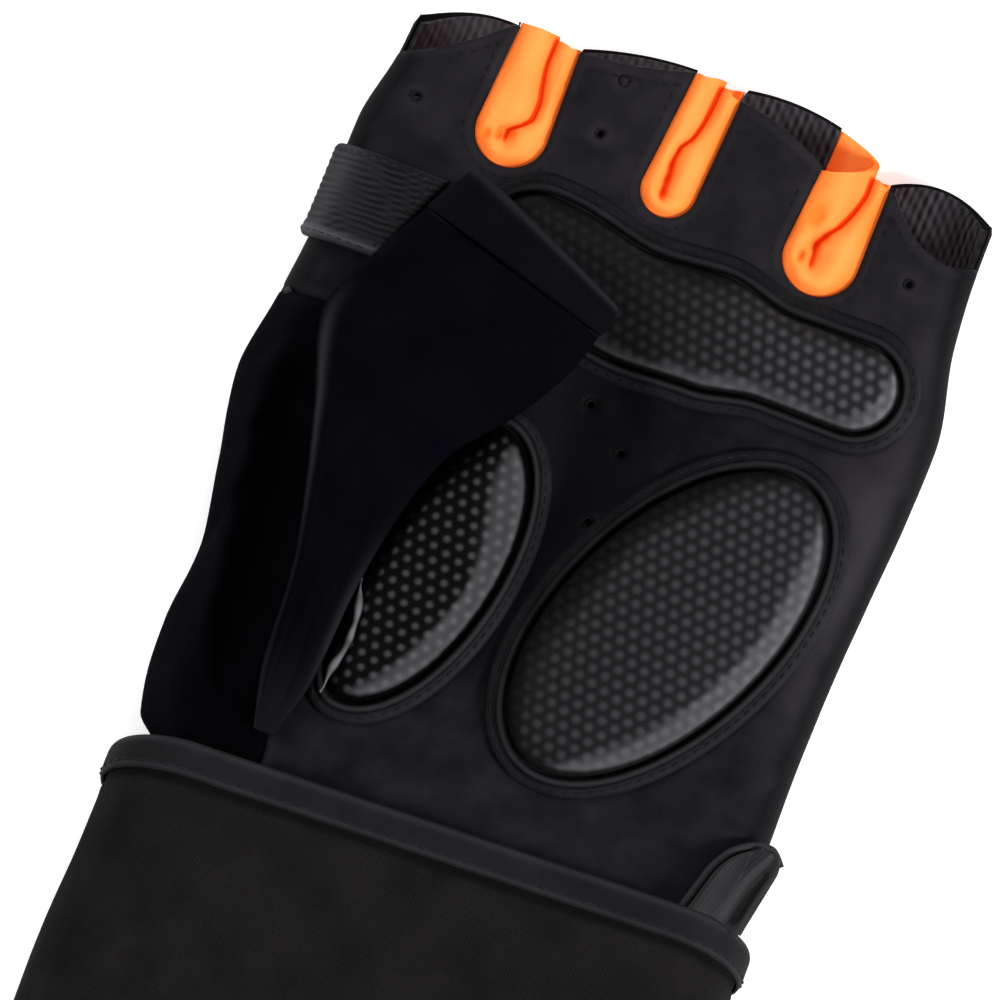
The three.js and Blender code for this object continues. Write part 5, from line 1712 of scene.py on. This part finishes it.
def sew_edges():
    """Rows beside the slots, the finger ends and the gusset's seam."""
    for number, (slot_x, at, half, end_half, lean) in enumerate(SLOTS):
        radius = across(half)
        arc_y = along(at) + radius
        turn = np.linspace(np.pi, 2 * np.pi, 30)
        arm = np.linspace(1, 0, 30, endpoint=False)
        for sign in (-1, 1):
            finger = number if sign < 0 else number + 1
            y = lerp(arc_y, finger_end(finger, 0, -sign) - CORNER_MARGIN, arm)
            climb = np.clip((y - arc_y) / (FINGER_LENGTH - radius), 0, 1)
            room = lerp(radius, across(end_half), climb) + SLOT_MARGIN
            sew_on_palm(across(slot_x) + lean * (y - arc_y) + sign * room, y)
        bottom = radius + SLOT_MARGIN
        sew_on_palm(across(slot_x) + bottom * np.cos(turn), arc_y + bottom * np.sin(turn))
    for number, (finger_x, half, *_) in enumerate(FINGERS):
        place = np.linspace(-0.88, 0.88, 30)
        sew_on_palm(across(finger_x + place * half), finger_end(number, 0, place) - END_MARGIN)
    y = np.linspace(along(-0.02), along(0.18), 40)
    sew_on_palm(gusset_seam_x(y) + GUSSET_MARGIN, y)


sew_edges()

# Eyelets: radius, depth in the cloth, points round and sides, and the direction of the thicker tuft, which
# carries a painted highlight
EYELET_RADIUS = 0.82
EYELET_SINK = 0.12
EYELET_COUNT, EYELET_SIDES = 20, 8
LIT_TUFT_WAY = 2.4


def build_eyelets():
    """A thin ring of thread round each vent, with one thicker tuft beside it that carries a painted highlight.
    The ring's first and last points are repeated while its direction is worked out, so that it closes
    smoothly."""
    points, faces, painted_light_and_wear = [], [], []
    turn = np.linspace(0, 2 * np.pi, EYELET_COUNT, endpoint=False)
    tuft = np.cos(turn - LIT_TUFT_WAY)
    girth = 0.1 + 0.07 * np.concatenate([tuft[-1:], tuft, tuft[:1]])
    for number, (vent_x, vent_y) in enumerate(vent_points):
        x = vent_x + EYELET_RADIUS * np.cos(turn)
        y = vent_y + EYELET_RADIUS * np.sin(turn)
        path = np.stack([x, y, palm_top(x, y) + palm_cloth_relief(x, y) - EYELET_SINK], -1)
        closed = np.concatenate([path[-1:], path, path[:1]])
        ring = tube_points(closed, girth, EYELET_SIDES)[1:-1]
        points.append(ring.reshape(-1, 3))
        quads = grid_faces(EYELET_COUNT, EYELET_SIDES, True, True)
        faces.append(quads + number * EYELET_COUNT * EYELET_SIDES)
        # Painted highlight on each ring's tuft side
        painted_light_and_wear.append(np.repeat(0.2 * np.maximum(0, tuft), EYELET_SIDES))
    points = np.concatenate(points)
    make_piece("vent_eyelets", points, np.concatenate(faces), "palm_cloth", uv=points[:, :2],
               painted_light_and_wear=np.concatenate(painted_light_and_wear), crisp=80)


build_eyelets()
finish_threads("palm", "palm_stitching", "palm_cloth")
finish_threads("sleeve", "sleeve_stitching", "sleeve_cloth")
finish_threads("tack", "gusset_tack", "binding_tape")
finish_threads("wrap", "wrap_stitching", "binding_tape")

# The hidden fastening tab keeps its own mesh
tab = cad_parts["closure_tab"]
tab.material_slots[0].material = MATERIALS["hook_tape"]


# Floor, lights and camera

# Floor: half its width in metres, its colour and glow. Sky: its colour and strength.
FLOOR_HALF = 3.0
FLOOR_ALBEDO = (0.96, 0.96, 0.96, 1)
FLOOR_GLOW = 0.34
SKY_COLOUR = (0.95, 0.97, 1, 1)
SKY_STRENGTH = 0.34


def make_floor():
    """Pale matt square, which glows a little so that it stays white round the glove."""
    floor_mesh = bpy.data.meshes.new("floor")
    corners = [(FLOOR_HALF * x, FLOOR_HALF * y, 0) for x, y in ((-1, -1), (1, -1), (1, 1), (-1, 1))]
    floor_mesh.from_pydata(corners, [], [(0, 1, 2, 3)])
    floor = bpy.data.objects.new("floor", floor_mesh)
    bpy.context.collection.objects.link(floor)
    paint = bpy.data.materials.new("floor_paint")
    paint.use_nodes = True
    shader = paint.node_tree.nodes["Principled BSDF"]
    shader.inputs["Base Color"].default_value = FLOOR_ALBEDO
    shader.inputs["Emission Color"].default_value = (1, 1, 1, 1)
    shader.inputs["Emission Strength"].default_value = FLOOR_GLOW
    shader.inputs["Roughness"].default_value = 0.9
    shader.inputs["Specular IOR Level"].default_value = 0.0
    floor_mesh.materials.append(paint)


# The photo's right and up on the table, in metres, and the point in the middle of the picture
PHOTO_TURN = math.radians(21)
PHOTO_RIGHT = Vector((math.cos(PHOTO_TURN), math.sin(PHOTO_TURN), 0))
PHOTO_UP = Vector((-math.sin(PHOTO_TURN), math.cos(PHOTO_TURN), 0))
TARGET = Vector((-0.0102, 0.0109, 0.018))


def add_light(name, right, up, high, size, power):
    """Round lamp at a place given in metres along the photo's right and up, aimed at the glove."""
    lamp = bpy.data.lights.new(name, "AREA")
    lamp.shape = "DISK"
    lamp.size = size
    lamp.energy = power
    place = TARGET + PHOTO_RIGHT * right + PHOTO_UP * up + Vector((0, 0, high))
    light = bpy.data.objects.new(name, lamp)
    light.location = place
    light.rotation_euler = (TARGET - place).to_track_quat("-Z", "Y").to_euler()
    bpy.context.collection.objects.link(light)


def make_lights():
    """Key lamp from the photo's lower right, two weaker ones against it, and an even pale sky."""
    add_light("key", 1.15, -0.75, 0.95, 0.5, 33)
    add_light("left_fill", -1.2, 0.4, 1.0, 0.9, 13)
    add_light("far_fill", 0.2, 1.3, 1.1, 0.9, 12)
    world = bpy.data.worlds.new("studio")
    world.use_nodes = True
    sky = world.node_tree.nodes["Background"]
    sky.inputs["Color"].default_value = SKY_COLOUR
    sky.inputs["Strength"].default_value = SKY_STRENGTH
    bpy.context.scene.world = world


def make_camera():
    """Long lens from above. The glove's length leans 21 degrees from the picture's vertical."""
    lens, sensor, frame_width = 500, 36, 0.165
    distance = frame_width * lens / sensor
    tilt = math.radians(2)
    back = Vector((0, 0, 1)) * math.cos(tilt) - PHOTO_UP * math.sin(tilt)
    up = back.cross(PHOTO_RIGHT)
    camera_data = bpy.data.cameras.new("camera")
    camera_data.lens = lens
    camera_data.sensor_width = sensor
    camera_data.clip_start = 0.01
    camera = bpy.data.objects.new("camera", camera_data)
    turn = Matrix((PHOTO_RIGHT, up, back)).transposed()
    camera.matrix_world = Matrix.Translation(TARGET + back * distance) @ turn.to_4x4()
    bpy.context.collection.objects.link(camera)
    bpy.context.scene.camera = camera


make_floor()
make_lights()
make_camera()
bpy.context.scene.view_settings.view_transform = "Standard"
